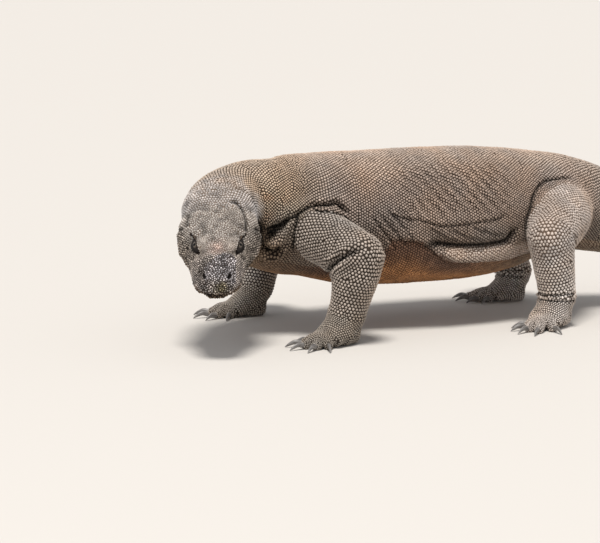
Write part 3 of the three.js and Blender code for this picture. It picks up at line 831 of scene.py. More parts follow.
# The hide is nowhere quite even, least of all over the bones of the head. A lump has its size across in metres and
# its height in millimetres.
LUMPS, HEAD_LUMPS = (0.045, 3.6), (0.018, 4.6)
HEAD_REACH = 200
on_head = smooth(of_head[:, 0], -20, 20) * (np.linalg.norm(of_head - EYE * (1, 0, 1), axis=1) < HEAD_REACH)
lift += ((mottle(points, LUMPS[0]) - 0.5) * LUMPS[1] * (1 - on_head)
         + (mottle(points + 3.0, HEAD_LUMPS[0], 2) - 0.5) * HEAD_LUMPS[1] * on_head) * MM
# Ribs show as low slanting waves high on the flanks, in some places more than in others, with painted shade in their
# troughs.
RIBS = {"height": 2.8, "spacing": 0.030, "slant": 0.9, "shade": 0.30, "front": (0.08, 0.20), "rear": (0.42, 0.52),
        "low": (0.24, 0.29), "high": (0.36, 0.40), "waver": 0.012}
back, _, up = (points - SHIFT).T
on_ribs = (smooth(back, *RIBS["front"]) * (1 - smooth(back, *RIBS["rear"]))
           * smooth(up, *RIBS["low"]) * (1 - smooth(up, *RIBS["high"])))
pleats = np.sin(FULL_TURN * (back + RIBS["slant"] * up + RIBS["waver"] * mottle(points, 0.06)) / RIBS["spacing"])
on_ribs *= smooth(mottle(points + 2.0, 0.08), 0.20, 0.50)
lift += RIBS["height"] * MM * on_ribs * pleats
painted_fold_shade_and_light = np.maximum(painted_fold_shade_and_light, RIBS["shade"] * on_ribs * smooth(-pleats, -0.2, 1.0))
points = points + shift + normals * lift[:, None]
points[:, 2] = np.maximum(points[:, 2], COAT_DEPTH / 2)

# The lids close over the ball from above and below and leave an almond between them. The skin inside the almond
# goes in behind the ball.
SLIT_HALF_LENGTH, SLIT_HALF_WIDTH = 23.5, 3.8
LID_HEIGHT, LID_SWELL = 0.9, (1.5, 1.6)     # over the ball at its edge, then how much higher and within how far
LID_FURROW = (0.8, 5.5, 1.3)                # its depth, its distance from the edge and its half width
LID_RUNS_OUT = (4, 13)                      # from here to there the lid turns into the skin round it
LEAST_COVER = 1.2                           # of skin over the ball
SOCKET_DEPTH = 4.0
LIDS_REACH, LIDS_ANGLE, EDGE_SNAP = 40, 1.9, 0.5    # the skin that the lids take up, and what snaps to their edges
slit_long = np.array(ALMOND[-1], float) - ALMOND[2]
slit_long = unit(slit_long - EYE_WAY * (slit_long @ EYE_WAY))
slit_wide = np.cross(EYE_WAY, slit_long)
slit_wide *= np.sign(slit_wide[2])


def lid_edge(along_slit):
    return SLIT_HALF_WIDTH * (1 - (along_slit / SLIT_HALF_LENGTH) ** 2)


def on_ball(along_slit, across_slit, radius, flank):
    """A point over the eye, by how far it is along and across the slit, as a point of the model."""
    angle = np.hypot(along_slit, across_slit) / BALL
    share = np.sin(angle) / np.maximum(angle * BALL, 1e-9)
    way = (np.cos(angle)[:, None] * EYE_WAY + (share * along_slit)[:, None] * slit_long
           + (share * across_slit)[:, None] * slit_wide)
    return from_head((EYE + way * np.reshape(radius, (-1, 1))) * (1, flank, 1) * MM)


eye_gap = np.full(len(points), 99.0)
for flank in (1, -1):
    off = (to_head(points) / MM) * (1, flank, 1) - EYE
    reach = np.linalg.norm(off, axis=1)
    way = off / reach[:, None]
    ahead = way @ EYE_WAY
    angle = np.arccos(np.clip(ahead, -1, 1))
    share = angle * BALL / np.maximum(np.sin(angle), 1e-9)
    x, y = way @ slit_long * share, way @ slit_wide * share
    near = (reach < LIDS_REACH) & (angle < LIDS_ANGLE)
    gap = np.abs(y) - lid_edge(x)
    snapped = near & (np.abs(gap) < EDGE_SNAP)
    y = np.where(snapped, y - np.sign(y) * gap, y)
    gap = np.where(snapped, 0.0, gap)
    lid = (BALL + LID_HEIGHT + LID_SWELL[0] * (1 - np.exp(-np.maximum(gap, 0) / LID_SWELL[1]))
           - LID_FURROW[0] * hump(gap, *LID_FURROW[1:]))
    inner = BALL + LID_HEIGHT - SOCKET_DEPTH * smooth(-gap, 0, 1.2)
    outer = np.maximum(lerp(lid, reach, smooth(gap, *LID_RUNS_OUT)), np.minimum(lid, BALL + LEAST_COVER))
    wanted_reach = np.where(gap < 0, inner, outer)
    points[near] = on_ball(x[near], y[near], wanted_reach[near], flank)
    eye_gap[near] = gap[near]

put_skin(points)


def add_object(name, data):
    item = bpy.data.objects.new(name, data)
    bpy.context.scene.collection.objects.link(item)
    return item


mesh = bpy.data.meshes.new("skin")
skin_bm.to_mesh(mesh)
mesh.shade_smooth()
skin = add_object("skin", mesh)

# ---------------------------------------------------------------------------------------------------------------
# Markings: weathered grey-brown hide, paler on the back and crown, warm brown under the belly, and a dark granular
# snout with a yellowish tip. Painted shade darkens the throat, lips, armpits, folds and gaps between the scales, and
# painted light brightens the roll of loose hide, the neck's strap, the hind shanks and the scales' crowns. Skin and
# scales take their colours from the same places.
# ---------------------------------------------------------------------------------------------------------------


def linear(hex_colour):
    """An sRGB hex colour as linear red, green and blue."""
    value = np.array([int(hex_colour[k:k + 2], 16) / 255 for k in (1, 3, 5)])
    return np.where(value <= 0.04045, value / 12.92, ((value + 0.055) / 1.055) ** 2.4)


# Throat, lip and armpit are darker as painted shade, and flap, strap and shank paler as painted light.
HIDE = {name: linear(code) for name, code in {
    "back": "#ac998a", "flank": "#9d8c80", "low_flank": "#84776d", "flap": "#c0b0a4", "belly": "#a3754f",
    "groin": "#8d7a69", "armpit": "#6c5446", "neck": "#ab9883", "strap": "#b0a193", "rust": "#a5714a",
    "throat": "#766554", "nape": "#a29d9a", "crown": "#9c958e", "cheek": "#8a8178", "blush": "#ac9388",
    "snout": "#918d8f", "lip": "#6a5847", "tip": "#857a52", "limb": "#a0958b", "foot": "#8e857b",
    "thigh": "#b0a49b", "shank": "#cabeb4", "tail": "#8f8375", "tail_tip": "#6f6558",
}.items()}

# Places on every form, to say which form a point of the hide belongs to and where on it the point lies.
forms = {"spine": (spine_row, spine_fullness, UP), "head": (head_row, head_fullness, UP)}
for name, rows in legs.items():
    forms[f"{name}.limb"] = (rows["limb"], plain_fullness, rows["hinge"])
    forms[f"{name}.palm"] = (rows["palm"], plain_fullness, UP)
    forms[f"{name}.heel"] = (rows["heel"], plain_fullness, UP)
    for k, toe in enumerate(rows["toes"]):
        forms[f"{name}.toe{k + 1}"] = (toe, plain_fullness, UP)
form_names = list(forms)
form_kinds = np.array([name.split(".")[-1].rstrip("12345") for name in form_names])
MARK_STEP, MARK_WIDTH = 0.010, 0.012        # how far apart the marks are, along and round
BURIED = 0.012                      # marks further than this from the skin lie inside another form
sample_points, sample_marks = [], []
for k, (row, fullness, up) in enumerate(forms.values()):
    run = np.linalg.norm(np.diff(row[:, :3], axis=0), axis=1).sum()
    places = np.linspace(0, len(row) - 1, max(6, int(run / MARK_STEP)))
    sides = max(12, int(row[:, 3:].mean() * 6 / MARK_WIDTH))
    p, a = (v.ravel() for v in np.meshgrid(places, evenly_round(sides), indexing="ij"))
    at = wrap(row, p, a, fullness, up)
    shown = np.abs(sample(at)[0] - COAT_DEPTH) < BURIED
    sample_points.append(at[shown])
    sample_marks.append(np.stack([np.full(shown.sum(), k), p[shown], a[shown]], 1))
sample_points, sample_marks = np.vstack(sample_points), np.vstack(sample_marks)
nearest_form = tree_of(sample_points)


def marks_at(points):
    """Which form each point belongs to, and its place and angle there."""
    return sample_marks[[nearest_form.find(point)[1] for point in points]]


def kinds_of(marks):
    return form_kinds[marks[:, 0].astype(int)]


def is_of(marks, start):
    """Whether each mark is on a form whose name starts so."""
    return np.array([name.startswith(start) for name in form_names])[marks[:, 0].astype(int)]


def column(share):
    return np.reshape(share, (-1, 1))


def over(colour, name, share):
    """A hide colour laid over another, as strongly as the share says at each point."""
    return lerp(colour, HIDE[name], column(share))


PATCH_MIDDLE = 7                    # in millimetres across the head, as are the places along the patch's top
PATCH_TOP = ((-28, -15, 0, 17, 30, 42), (187, 176, 165, 157, 153, 160))


def nose_patch(of_head, uneven):
    """The dark granular patch on the top of the snout, 1 inside it; it reaches further up on the left."""
    u, v, w = of_head.T
    start = np.interp(v, PATCH_TOP[0], PATCH_TOP[1]) + 12 * (uneven - 0.5)
    return smooth(u - start, -3, 4) * (1 - smooth(np.abs(v - PATCH_MIDDLE) + 8 * uneven, 34, 42)) * smooth(
        w, -8, 2) * (1 - 0.6 * smooth(u, 216, 230))


FLAP_EDGE = np.array([(5.0, -50), (6.3, -42), *FLANK_FOLDS["flap"][0], (11.5, -44)])
FLAP_TOP = np.array(FLANK_FOLDS["flap_top"][0][:6])


def rise_of(marks):
    """How far up its form each mark lies, in degrees, from -90 underneath to 90 on top."""
    return np.degrees(np.arcsin(np.sin(marks[:, 2])))


def on_flap(marks, uneven):
    """1 on the roll of loose hide low on each flank, and the height of its lower edge in degrees."""
    place, rise = marks[:, 1], rise_of(marks)
    edge = np.interp(place, FLAP_EDGE[:, 0], FLAP_EDGE[:, 1]) + 5 * (uneven - 0.5)
    top = np.interp(place, FLAP_TOP[:, 0], FLAP_TOP[:, 1])
    return smooth(rise, edge, edge + 5) * (1 - smooth(rise, top - 6, top)) * smooth(place, 7.0, 8.0) * (
        1 - smooth(place, 10.0, 10.6)), edge


# In what follows a place counts the sections of a form from the skull or the limb's root, a rise is in degrees up
# the flank, heights are in metres, and u, v and w run along, across and up the head in millimetres. smooth is given
# where a change starts and ends, hump its middle and its spread.


def trunk_colour(points, marks, rise, fine):
    """A brown belly, darker behind the arms as painted shade and grey at the groin, a roll of loose hide made pale as
    painted light, and a paler back.
    """
    place, level_rise = marks[:, 1], rise_of(marks)
    flap, edge = on_flap(marks, fine)
    # Painted shade under the belly behind the arms.
    colour = over(HIDE["belly"], "armpit", smooth(level_rise, edge - 34, edge - 6) * (1 - smooth(place, 8.2, 10.0)))
    of_groin = np.maximum(smooth(level_rise, -85, -50), smooth(place, 9.6, 11.4))
    colour = over(colour, "groin", smooth(place, 8.3, 10.3) * of_groin)
    colour = over(colour, "low_flank", smooth(level_rise, edge - 2, edge + 3))
    colour = over(colour, "flank", smooth(rise, -16, 14))
    colour = over(colour, "back", smooth(rise, 26, 66))
    # Painted light on the roll of loose hide.
    colour = over(colour, "flap", flap)
    blotches = 0.55 + 0.90 * mottle(points * (1, 1, 0.45), 0.016)
    return colour * column(lerp(blotches, 1.0, smooth(rise, edge - 6, edge + 8)))


def neck_colour(marks, rise, rusty):
    """A throat darkened as painted shade, tawny sides with rusty patches, and a strap of loose skin down to the chest
    made pale as painted light.
    """
    place = marks[:, 1]
    # The throat is darker as painted shade.
    colour = over(HIDE["throat"], "neck", smooth(rise, -30, 10))
    colour = over(colour, "rust", 0.32 * smooth(rusty, 0.9, 1.2) * hump(rise, 8, 24) * hump(place, 2.4, 0.9))
    colour = over(colour, "back", smooth(rise, 20, 70) * 0.5)
    # Painted light on the strap.
    return over(colour, "strap", 0.9 * hump(place, 3.35, 0.55) * hump(rise_of(marks), -17, 14))


def head_colour(points, fine):
    """A grey crown, blushed before the eyes, a slate snout with a yellowish tip, the throat under the jaws and the
    lips darkened brown as painted shade, all blotched.
    """
    of_head = to_head(points) / MM
    u, v, w = of_head.T
    uneven = fine - 0.5
    # Under the jaws the throat's colour is painted shade.
    colour = over(HIDE["throat"], "cheek", smooth(w, -34, -8))
    colour = over(colour, "crown", smooth(w + 14 * uneven, 14, 40))
    colour = over(colour, "nape", 1 - smooth(u + 30 * uneven, -8, 34))
    colour = over(colour, "blush", 0.7 * hump(u, 144, 20) * hump(v, 0, 17))
    colour = over(colour, "snout", np.maximum(nose_patch(of_head, fine), 0.35 * smooth(u, 120, 190)))
    # Painted shade on the lips below the snout.
    colour = over(colour, "lip", smooth(-w, 6, 17) * smooth(u + 20 * uneven, 192, 222))
    colour = over(colour, "tip", 0.65 * smooth(u + 40 * uneven, 224, 236) * hump(v, 11, 13) * smooth(w, -13, -5))
    return colour * column(0.32 + 1.42 * mottle(points + 9.0, 0.013, 2))


def limb_colour(points, marks, fine):
    """Grey arms, darker at the hands, and pale hind legs whose hips take the colour of the trunk, made paler still on
    the shanks and feet as painted light, and darker just above the floor.
    """
    height, hind = points[:, 2], is_of(marks, "hind")
    fore_hide = over(HIDE["foot"], "limb", smooth(height, 0.05, 0.10))
    # The hind shanks and feet are paler than the thighs as painted light.
    hind_hide = over(HIDE["shank"], "thigh", smooth(height, 0.11, 0.20))
    hind_hide *= column(lerp(0.84, 1.0, smooth(height, 0.045, 0.075)))
    of_hip = 0.7 * hind * (1 - smooth(marks[:, 1] + fine, 0.6, 2.0)) * (kinds_of(marks) == "limb")
    hip_hide = over(HIDE["flank"], "back", smooth(rise_of(marks), 0, 40))
    return lerp(np.where(column(hind), hind_hide, fore_hide), hip_hide, column(of_hip))


def hide_colour(points, marks):
    """The colour of the scales at points of the hide."""
    kind, place = kinds_of(marks), marks[:, 1]
    patches, fine, long = mottle(points, 0.09), mottle(points + 5.0, 0.018), mottle(points * (1, 1, 0.4), 0.20)
    rise = rise_of(marks) + 24 * (patches - 0.5)
    colour = lerp(neck_colour(marks, rise, fine + long), trunk_colour(points, marks, rise, fine),
                  column(smooth(place, 3.2, 5.6)))
    tail = over(over(HIDE["tail"] * 0.8, "tail", smooth(rise, -40, 20)), "tail_tip", smooth(place, 16, 24))
    colour = lerp(colour, tail, column(smooth(place, 12, 14.5)))
    of_crown = np.where(kind == "head", 1.0, np.where(kind == "spine", 1 - smooth(place + fine, 1.0, 2.6), 0.0))
    colour = lerp(colour, head_colour(points, fine), column(of_crown))
    colour = lerp(colour, limb_colour(points, marks, fine), column((kind != "spine") & (kind != "head")))
    warmth = 0.24 * (mottle(points + 7.0, 0.075) - 0.5) * smooth(rise_of(marks), -50, -10) * (1 - 0.6 * of_crown)
    colour = colour * (1 + column(warmth) * (1, 0, -1))
    dust = lerp(1.0, 1.10, smooth(long, 0.45, 0.7))
    return colour * column((0.76 + 0.28 * patches + 0.20 * fine) * dust)


SOFT_RELIEF = 0.65                  # the roll of loose hide and the crown, where single scales hardly show


def relief_of(marks, points):
    """How strongly single scales stand out against the gaps between them, in their shape and in the painted shade of
    the gaps and painted light on their crowns: 1 is full relief, more is beady.
    """
    kind, place, rise = kinds_of(marks), marks[:, 1], rise_of(marks)
    of_head = to_head(points) / MM
    flap, edge = on_flap(marks, 0.5)
    trunk = lerp(0.75, lerp(1.62, 1.15, smooth(place, 3.0, 5)), smooth(place, 0.5, 2.2))
    trunk *= lerp(1.0, 0.82, smooth(rise, 15, 60))
    trunk = lerp(lerp(0.80, trunk, smooth(rise, edge - 1, edge + 4)), SOFT_RELIEF, flap)
    limb = np.where(is_of(marks, "hind"), lerp(1.05, 0.72, smooth(points[:, 2], 0.13, 0.22)), 1.40)
    cheek = 1.55 * smooth(np.abs(of_head[:, 1]), 36, 56) * smooth(-of_head[:, 2], -40, -15)
    face = np.max([np.full(len(marks), SOFT_RELIEF), cheek, 1.55 * smooth(of_head[:, 0], 140, 180),
                   1.35 * nose_patch(of_head, mottle(points + 5.0, 0.018))], 0)
    return np.select([kind == "spine", kind == "head", kind == "limb"], [trunk, face, limb], 1.25)


def add_node(tree, kind, values=(), stops=(), **links):
    """Adds a node, sets its values by name and its stops by place and colour, and links named inputs to sockets."""
    node = tree.nodes.new(kind)
    for key, value in dict(values).items():
        if hasattr(node, key):
            setattr(node, key, value)
        else:
            node.inputs[key].default_value = value
    if stops:
        elements = node.color_ramp.elements
        while len(elements) < len(stops):
            elements.new(0.5)
        for element, (stop, code) in zip(elements, stops):
            element.position = stop
            element.color = (*linear(code), 1)
    for key, socket in links.items():
        tree.links.new(socket, node.inputs[key.replace("_", " ")])
    return node


def add_material(name):
    material = bpy.data.materials.new(name)
    material.use_nodes = True
    return material, material.node_tree, material.node_tree.nodes["Principled BSDF"]


# Keratin hide: dull and dry, with a fine grit of dirt and wear that takes the gloss off each scale unevenly.
HIDE_ROUGHNESS = 0.58
GRIT_PER_METRE = 900                # real grit is finer; 1.1 mm is the finest that shows
hide, tree, surface = add_material("scaly_hide")
surface.inputs["Specular IOR Level"].default_value = 0.20
marking = add_node(tree, "ShaderNodeVertexColor", {"layer_name": "marking"})
place_node = add_node(tree, "ShaderNodeTexCoord")
grit = add_node(tree, "ShaderNodeTexNoise", {"Scale": GRIT_PER_METRE, "Detail": 3.0},
                Vector=place_node.outputs["Object"])
shade = add_node(tree, "ShaderNodeMapRange", {"To Min": 0.84, "To Max": 1.14}, Value=grit.outputs["Fac"])
tinted = add_node(tree, "ShaderNodeVectorMath", {"operation": "SCALE"}, Scale=shade.outputs["Result"])
tree.links.new(marking.outputs["Color"], tinted.inputs[0])
tree.links.new(tinted.outputs["Vector"], surface.inputs["Base Color"])
rough = add_node(tree, "ShaderNodeMapRange", {"To Min": HIDE_ROUGHNESS - 0.1, "To Max": HIDE_ROUGHNESS + 0.15},
                 Value=grit.outputs["Fac"])
tree.links.new(rough.outputs["Result"], surface.inputs["Roughness"])
relief = add_node(tree, "ShaderNodeBump", {"Strength": 0.25, "Distance": 0.0004}, Height=grit.outputs["Fac"])
tree.links.new(relief.outputs["Normal"], surface.inputs["Normal"])
mesh.materials.append(hide)


def paint(target, colours):
    layer = target.color_attributes.new("marking", "FLOAT_COLOR", "POINT")
    layer.data.foreach_set("color", np.hstack([colours, np.ones((len(colours), 1))]).astype(np.float32).ravel())


GAP_TINT = np.array([1.20, 0.98, 0.80])        # bare skin between the scales is browner than their horn
# The skin between the scales is darker skin with painted shade on it, the more so the more the scales stand out.
GAP_SHADES, DARKEST_GAP = (0.60, 0.14), 0.09    # shares of the scales' colour, at no relief and at full relief
# Painted shade deep in folds, and painted light on rolls and ridges, change the hide's colour this much.
PAINTED_FOLD_SHADING = 0.88                 # how much darker the hide is deep in a fold
# The lids round each eye are dark skin, darker still with painted shade from the brow; the same near-black is painted
# shade in the mouth's slit, the nostrils and the ears.
DARK_LIDS_AND_HOLE_SHADE = linear("#17120f")
LID_SKIN = 2.2                      # millimetres of bare dark skin round the eye
skin_points = skin_places()
skin_marks = marks_at(skin_points)
painted_fold_shade_and_light = np.clip(painted_fold_shade_and_light, -0.5, 1)
# The lids' dark colour with painted shade round the eyes, and painted shade in the slit and pits.
bare = np.maximum(1 - smooth(eye_gap, LID_SKIN, LID_SKIN + 1.2), np.maximum(lid_skin, hole))
gap_shade = lerp(*GAP_SHADES, relief_of(skin_marks, skin_points)).clip(DARKEST_GAP) * (1 - PAINTED_FOLD_SHADING * painted_fold_shade_and_light)
skin_colours = hide_colour(skin_points, skin_marks) * column(gap_shade) * GAP_TINT
skin_colours = lerp(skin_colours, DARK_LIDS_AND_HOLE_SHADE, column(bare))
paint(mesh, skin_colours)

FLESH = ["head", "lower_jaw", "neck", "chest", "belly", "hips", "tail_base", "tail_middle", "tail_slim", "tail_tip"]
FLESH += [f"{part}_{side}" for part in ("upper_arm", "forearm", "hand", "thigh", "shank", "foot")
          for side in ("left", "right")]
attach(skin, "root")
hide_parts(*FLESH)

# ---------------------------------------------------------------------------------------------------------------
# Scales: small closed domes of keratin that stand on the skin in rings round the body and limbs, each row set half
# a scale over from the last. The head's crown has smaller ones without rows. Smaller grains fill what the rows leave
# open, and each scale then spreads until it meets the next.
# ---------------------------------------------------------------------------------------------------------------

skin_surface = BVHTree.FromObject(skin, bpy.context.evaluated_depsgraph_get())
ROW_RATIO = {"spine": 0.92, "limb": 0.84}       # rows lie closer than the scales in a row
OTHER_ROW_RATIO = 0.94


# The spacing of the rows in metres: at the start of each kind of form, then each new spacing and the places between
# which it comes in.
ROW_PITCHES = {
    "spine": (0.0060, (0.0071, 0.0, 2.2), (0.0065, 4.5, 6.5), (0.0084, 11, 14), (0.0052, 17, 24)),
    "head": (0.0060, (0.0054, 1.5, 5)),
    "limb": (0.0082, (0.0092, 0.5, 2.5), (0.0086, 3, 6)),
    "palm": (0.0064,), "heel": (0.0062,), "toe": (0.0050,),
}


def scale_pitch(kind, places):
    first, *changes = ROW_PITCHES[kind]
    pitch = np.full(np.shape(places), first)
    for new, start, end in changes:
        pitch = lerp(pitch, new, smooth(places, start, end))
    return pitch


def breadth_of(kind, places, turns):
    """How much broader scales are than their rings' spacing: more so along the back and under the belly."""
    rise = np.sin(turns)
    return 1 + (0.30 * smooth(rise, 0.35, 0.90) * smooth(places, 3.8, 6.0) + 0.20 * smooth(-rise, 0.45, 0.80)) * (
        kind == "spine")


# Which side of a bend spaces the rings, as a percentage of those in the order of their length: on the neck the
# middle of its flanks, on every other form the longer sides.
NECK_RANK, FORM_RANK, LIMB_RANK = 46, 70, 80
SHELL_RINGS, SHELL_SIDES, RING_SIDES = 600, 24, 180
UNEVEN_COUNT = 0.10                 # rings keep the number of scales of the last one up to this change of their size


def rows_of_scales(index):
    """Places and angles of the scales on one form, with their spacing."""
    row, fullness, up = forms[form_names[index]]
    kind = form_kinds[index]
    # Rings are a row apart over most of their length, and come closer only in the crook of a bend.
    fine, turns = np.linspace(0, len(row) - 1, SHELL_RINGS), evenly_round(SHELL_SIDES)
    shell = wrap(row, np.repeat(fine, SHELL_SIDES), np.tile(turns, SHELL_RINGS), fullness, up)
    shell = shell.reshape(SHELL_RINGS, SHELL_SIDES, 3)
    rank = LIMB_RANK if kind == "limb" else FORM_RANK
    neck_stride, stride = np.percentile(np.linalg.norm(np.diff(shell, axis=0), axis=2), (NECK_RANK, rank), axis=1)
    if kind == "spine":
        stride = lerp(neck_stride, stride, smooth(fine[1:], 2.4, 3.4))
    run = np.concatenate([[0], np.cumsum(stride)])
    at, stops = 0.0, []
    while at < run[-1]:
        place = np.interp(at, run, fine)
        stops.append(place)
        at += float(scale_pitch(kind, place)) * ROW_RATIO.get(kind, OTHER_ROW_RATIO)
    angles = np.linspace(0, FULL_TURN, RING_SIDES + 1)
    out, count = [], 0
    for number, place in enumerate(stops):
        ring = wrap(row, np.full(len(angles), place), angles + math.pi / 2, fullness, up)
        breadth = breadth_of(kind, place, angles + math.pi / 2)
        way = np.concatenate([[0], np.cumsum(np.linalg.norm(np.diff(ring, axis=0), axis=1) / breadth[1:])])
        pitch = float(scale_pitch(kind, place))
        if count == 0 or abs(way[-1] / count / pitch - 1) > UNEVEN_COUNT:
            count = max(5, round(way[-1] / pitch))
        spots = (np.arange(count) + 0.5 * (number % 2)) / count * way[-1]
        turn = np.interp(spots, way, angles) + math.pi / 2
        out.append(np.stack([np.full(count, place), turn, pitch * breadth_of(kind, place, turn)], 1))
    return np.vstack(out)


HEADING_STEP = 0.05


def heading_of(marks):
    """The direction along its form at each mark, from skull to tail, from root to toe, and from skull to snout."""
    out = np.zeros((len(marks), 3))
    for index in np.unique(marks[:, 0]).astype(int):
        mine = marks[:, 0] == index
        row, fullness, up = forms[form_names[index]]
        place, turn = marks[mine, 1], marks[mine, 2]
        out[mine] = (wrap(row, np.minimum(place + HEADING_STEP, len(row) - 1), turn, fullness, up)
                     - wrap(row, np.maximum(place - HEADING_STEP, 0), turn, fullness, up))
    return unit(out)


CELL = 0.0088
crowd = {}                          # the places taken so far, by the cell of space that they are in


def cell_of(*place):
    return tuple(math.floor(v / CELL) for v in place)


def is_clear(x, y, z, gap):
    """Whether no scale stands nearer than a gap."""
    i, j, m = cell_of(x, y, z)
    limit = gap * gap
    for di in (-1, 0, 1):
        for dj in (-1, 0, 1):
            for dm in (-1, 0, 1):
                for px, py, pz in crowd.get((i + di, j + dj, m + dm), ()):
                    if (px - x) ** 2 + (py - y) ** 2 + (pz - z) ** 2 < limit:
                        return False
    return True


def take_place(x, y, z):
    crowd.setdefault(cell_of(x, y, z), []).append((x, y, z))


ROW_GAP, GRAIN_GAP = 0.60, 0.76     # the nearest that two scales stand, as a share of their spacing
GRAIN_SHARE = 0.85                  # a grain's spacing by that of the rows: no grain fits between even rows
STRAY = 0.8                         # sections that a scale strays from its ring for each metre of its spacing
OFF_SKIN = 0.011                    # a place further than this from the skin is inside another form
CLEARANCE, PROBE = 0.025, 0.055     # how far above the skin a probe starts, and how long it is
STEEPEST = 0.15                     # the least cosine between the skin's slope and that of the form
roots, normals, marks, pitches = [], [], [], []
for index, name in enumerate(form_names):
    row, fullness, up = forms[name]
    plan = rows_of_scales(index)
    place = np.clip(plan[:, 0] + rng.normal(0, STRAY, len(plan)) * plan[:, 2], 0, len(row) - 1)
    turn, pitch = plan[:, 1], plan[:, 2]
    first = wrap(row, place, turn, fullness, up)
    spot = settle(first, rounds=4)
    out = unit(sample(spot)[1])
    wanted = np.linalg.norm(spot - first, axis=1) < OFF_SKIN
    if name == "head":
        # Rows show only on the jaws and the sides of the snout.
        u, v, w = (to_head(spot) / MM).T
        outward = np.abs(v) / (np.interp(place, np.arange(len(row)), row[:, 3]) / MM)
        wanted &= ((outward > 0.72) | (w < -18)) & (u > 10) & (u < 226)
    for k in np.flatnonzero(wanted):
        hit = skin_surface.ray_cast(Vector(spot[k] + out[k] * CLEARANCE), Vector(-out[k]), PROBE)
        if hit[0] is None or hit[1].dot(Vector(out[k])) < STEEPEST or not is_clear(*hit[0], ROW_GAP * pitch[k]):
            continue
        take_place(*hit[0])
        roots.append(hit[0][:])
        normals.append(hit[1][:])
        marks.append([index, place[k], turn[k]])
        pitches.append(pitch[k])

# Grains: places spread over the skin, kept where nothing stands nearer than their own spacing. They are finest round
# the eyes and nostrils.
TRIAL_STEP, HEAD_TRIAL_STEP = 0.0032, 0.0015
HEAD_GRAINS, NOSE_GRAIN = (0.0052, 0.0050), 0.0051
LID_GRAIN, NOSTRIL_GRAIN = 0.0028, 0.0026
TAIL_END = 1.145                    # beyond this the tail's tip is bare horn
corners = np.array([[p.vertices[0], p.vertices[k], p.vertices[k + 1]]
                    for p in mesh.polygons for k in range(1, len(p.vertices) - 1)])
a, b, c = (skin_points[corners[:, k]] for k in range(3))
facing = np.cross(b - a, c - a)
areas = np.linalg.norm(facing, axis=1) / 2
grain_step = np.where(kinds_of(skin_marks)[corners[:, 0]] == "head", HEAD_TRIAL_STEP, TRIAL_STEP)
counts = rng.poisson(areas / grain_step ** 2)
pick = np.repeat(np.arange(len(corners)), counts)
r1, r2 = np.sqrt(rng.random(len(pick))), rng.random(len(pick))
spots = a[pick] * (1 - r1)[:, None] + b[pick] * (r1 * (1 - r2))[:, None] + c[pick] * (r1 * r2)[:, None]
spot_normals = unit(facing)[pick]
spot_marks = skin_marks[corners[pick, 0]]
of_head = to_head(spots) / MM
grain_pitch = lerp(*HEAD_GRAINS, smooth(of_head[:, 0], 110, 160))
grain_pitch = lerp(grain_pitch, NOSE_GRAIN, nose_patch(of_head, 0.5))
grain_pitch = lerp(LID_GRAIN, grain_pitch, smooth(off_feature(of_head, EYE), 22, 36))
grain_pitch = lerp(NOSTRIL_GRAIN, grain_pitch, smooth(off_feature(of_head, NOSTRIL), 8, 16))
for kind in np.unique(form_kinds[form_kinds != "head"]):
    mine = kinds_of(spot_marks) == kind
    place, turn = spot_marks[mine, 1:].T
    grain_pitch[mine] = GRAIN_SHARE * scale_pitch(kind, place) * breadth_of(kind, place, turn)
covered = (bare[corners[pick, 0]] < 0.5) & (spots[:, 0] < TAIL_END)
for k in rng.permutation(np.flatnonzero(covered)):
    if is_clear(*spots[k], GRAIN_GAP * grain_pitch[k]):
        take_place(*spots[k])
        roots.append(spots[k])
        normals.append(spot_normals[k])
        marks.append(spot_marks[k])
        pitches.append(grain_pitch[k])
roots, normals, marks, pitches = (np.array(v, float) for v in (roots, normals, marks, pitches))
nearest_skin = tree_of(skin_points)
of_skin = np.array([nearest_skin.find(root)[1] for root in roots])
shown = (bare[of_skin] < 0.5) & (roots[:, 0] < TAIL_END)
roots, normals, marks, pitches, of_skin = (v[shown] for v in (roots, normals, marks, pitches, of_skin))

kinds = kinds_of(marks)
ahead = heading_of(marks)
ahead = unit(ahead - normals * (ahead * normals).sum(1, keepdims=True))
across = np.cross(normals, ahead)

# Each scale reaches, in every direction, half way to the next one.
NEIGHBOURS = 12
SIDES, HEAD_SIDES = 6, 8
REACH_LIMIT = 0.78                  # of the spacing, where no other scale is near
tree_of_roots = tree_of(roots)
found = np.array([[n[1] for n in tree_of_roots.find_n(root, NEIGHBOURS + 1)][1:] for root in roots])
offsets = roots[found] - roots[:, None]
flat_offsets = np.stack([(offsets * ahead[:, None]).sum(2), (offsets * across[:, None]).sum(2)], 2)


def reaches(sides):
    turns = evenly_round(sides)
    ways = np.stack([np.cos(turns), np.sin(turns)], 1)
    toward = np.einsum("nkc,sc->nks", flat_offsets, ways)
    square = (offsets ** 2).sum(2)[:, :, None]
    half = np.where(toward > 1e-6, square / (2 * np.maximum(toward, 1e-6)), 1.0).min(1)
    return np.minimum(half, REACH_LIMIT * pitches[:, None]), ways


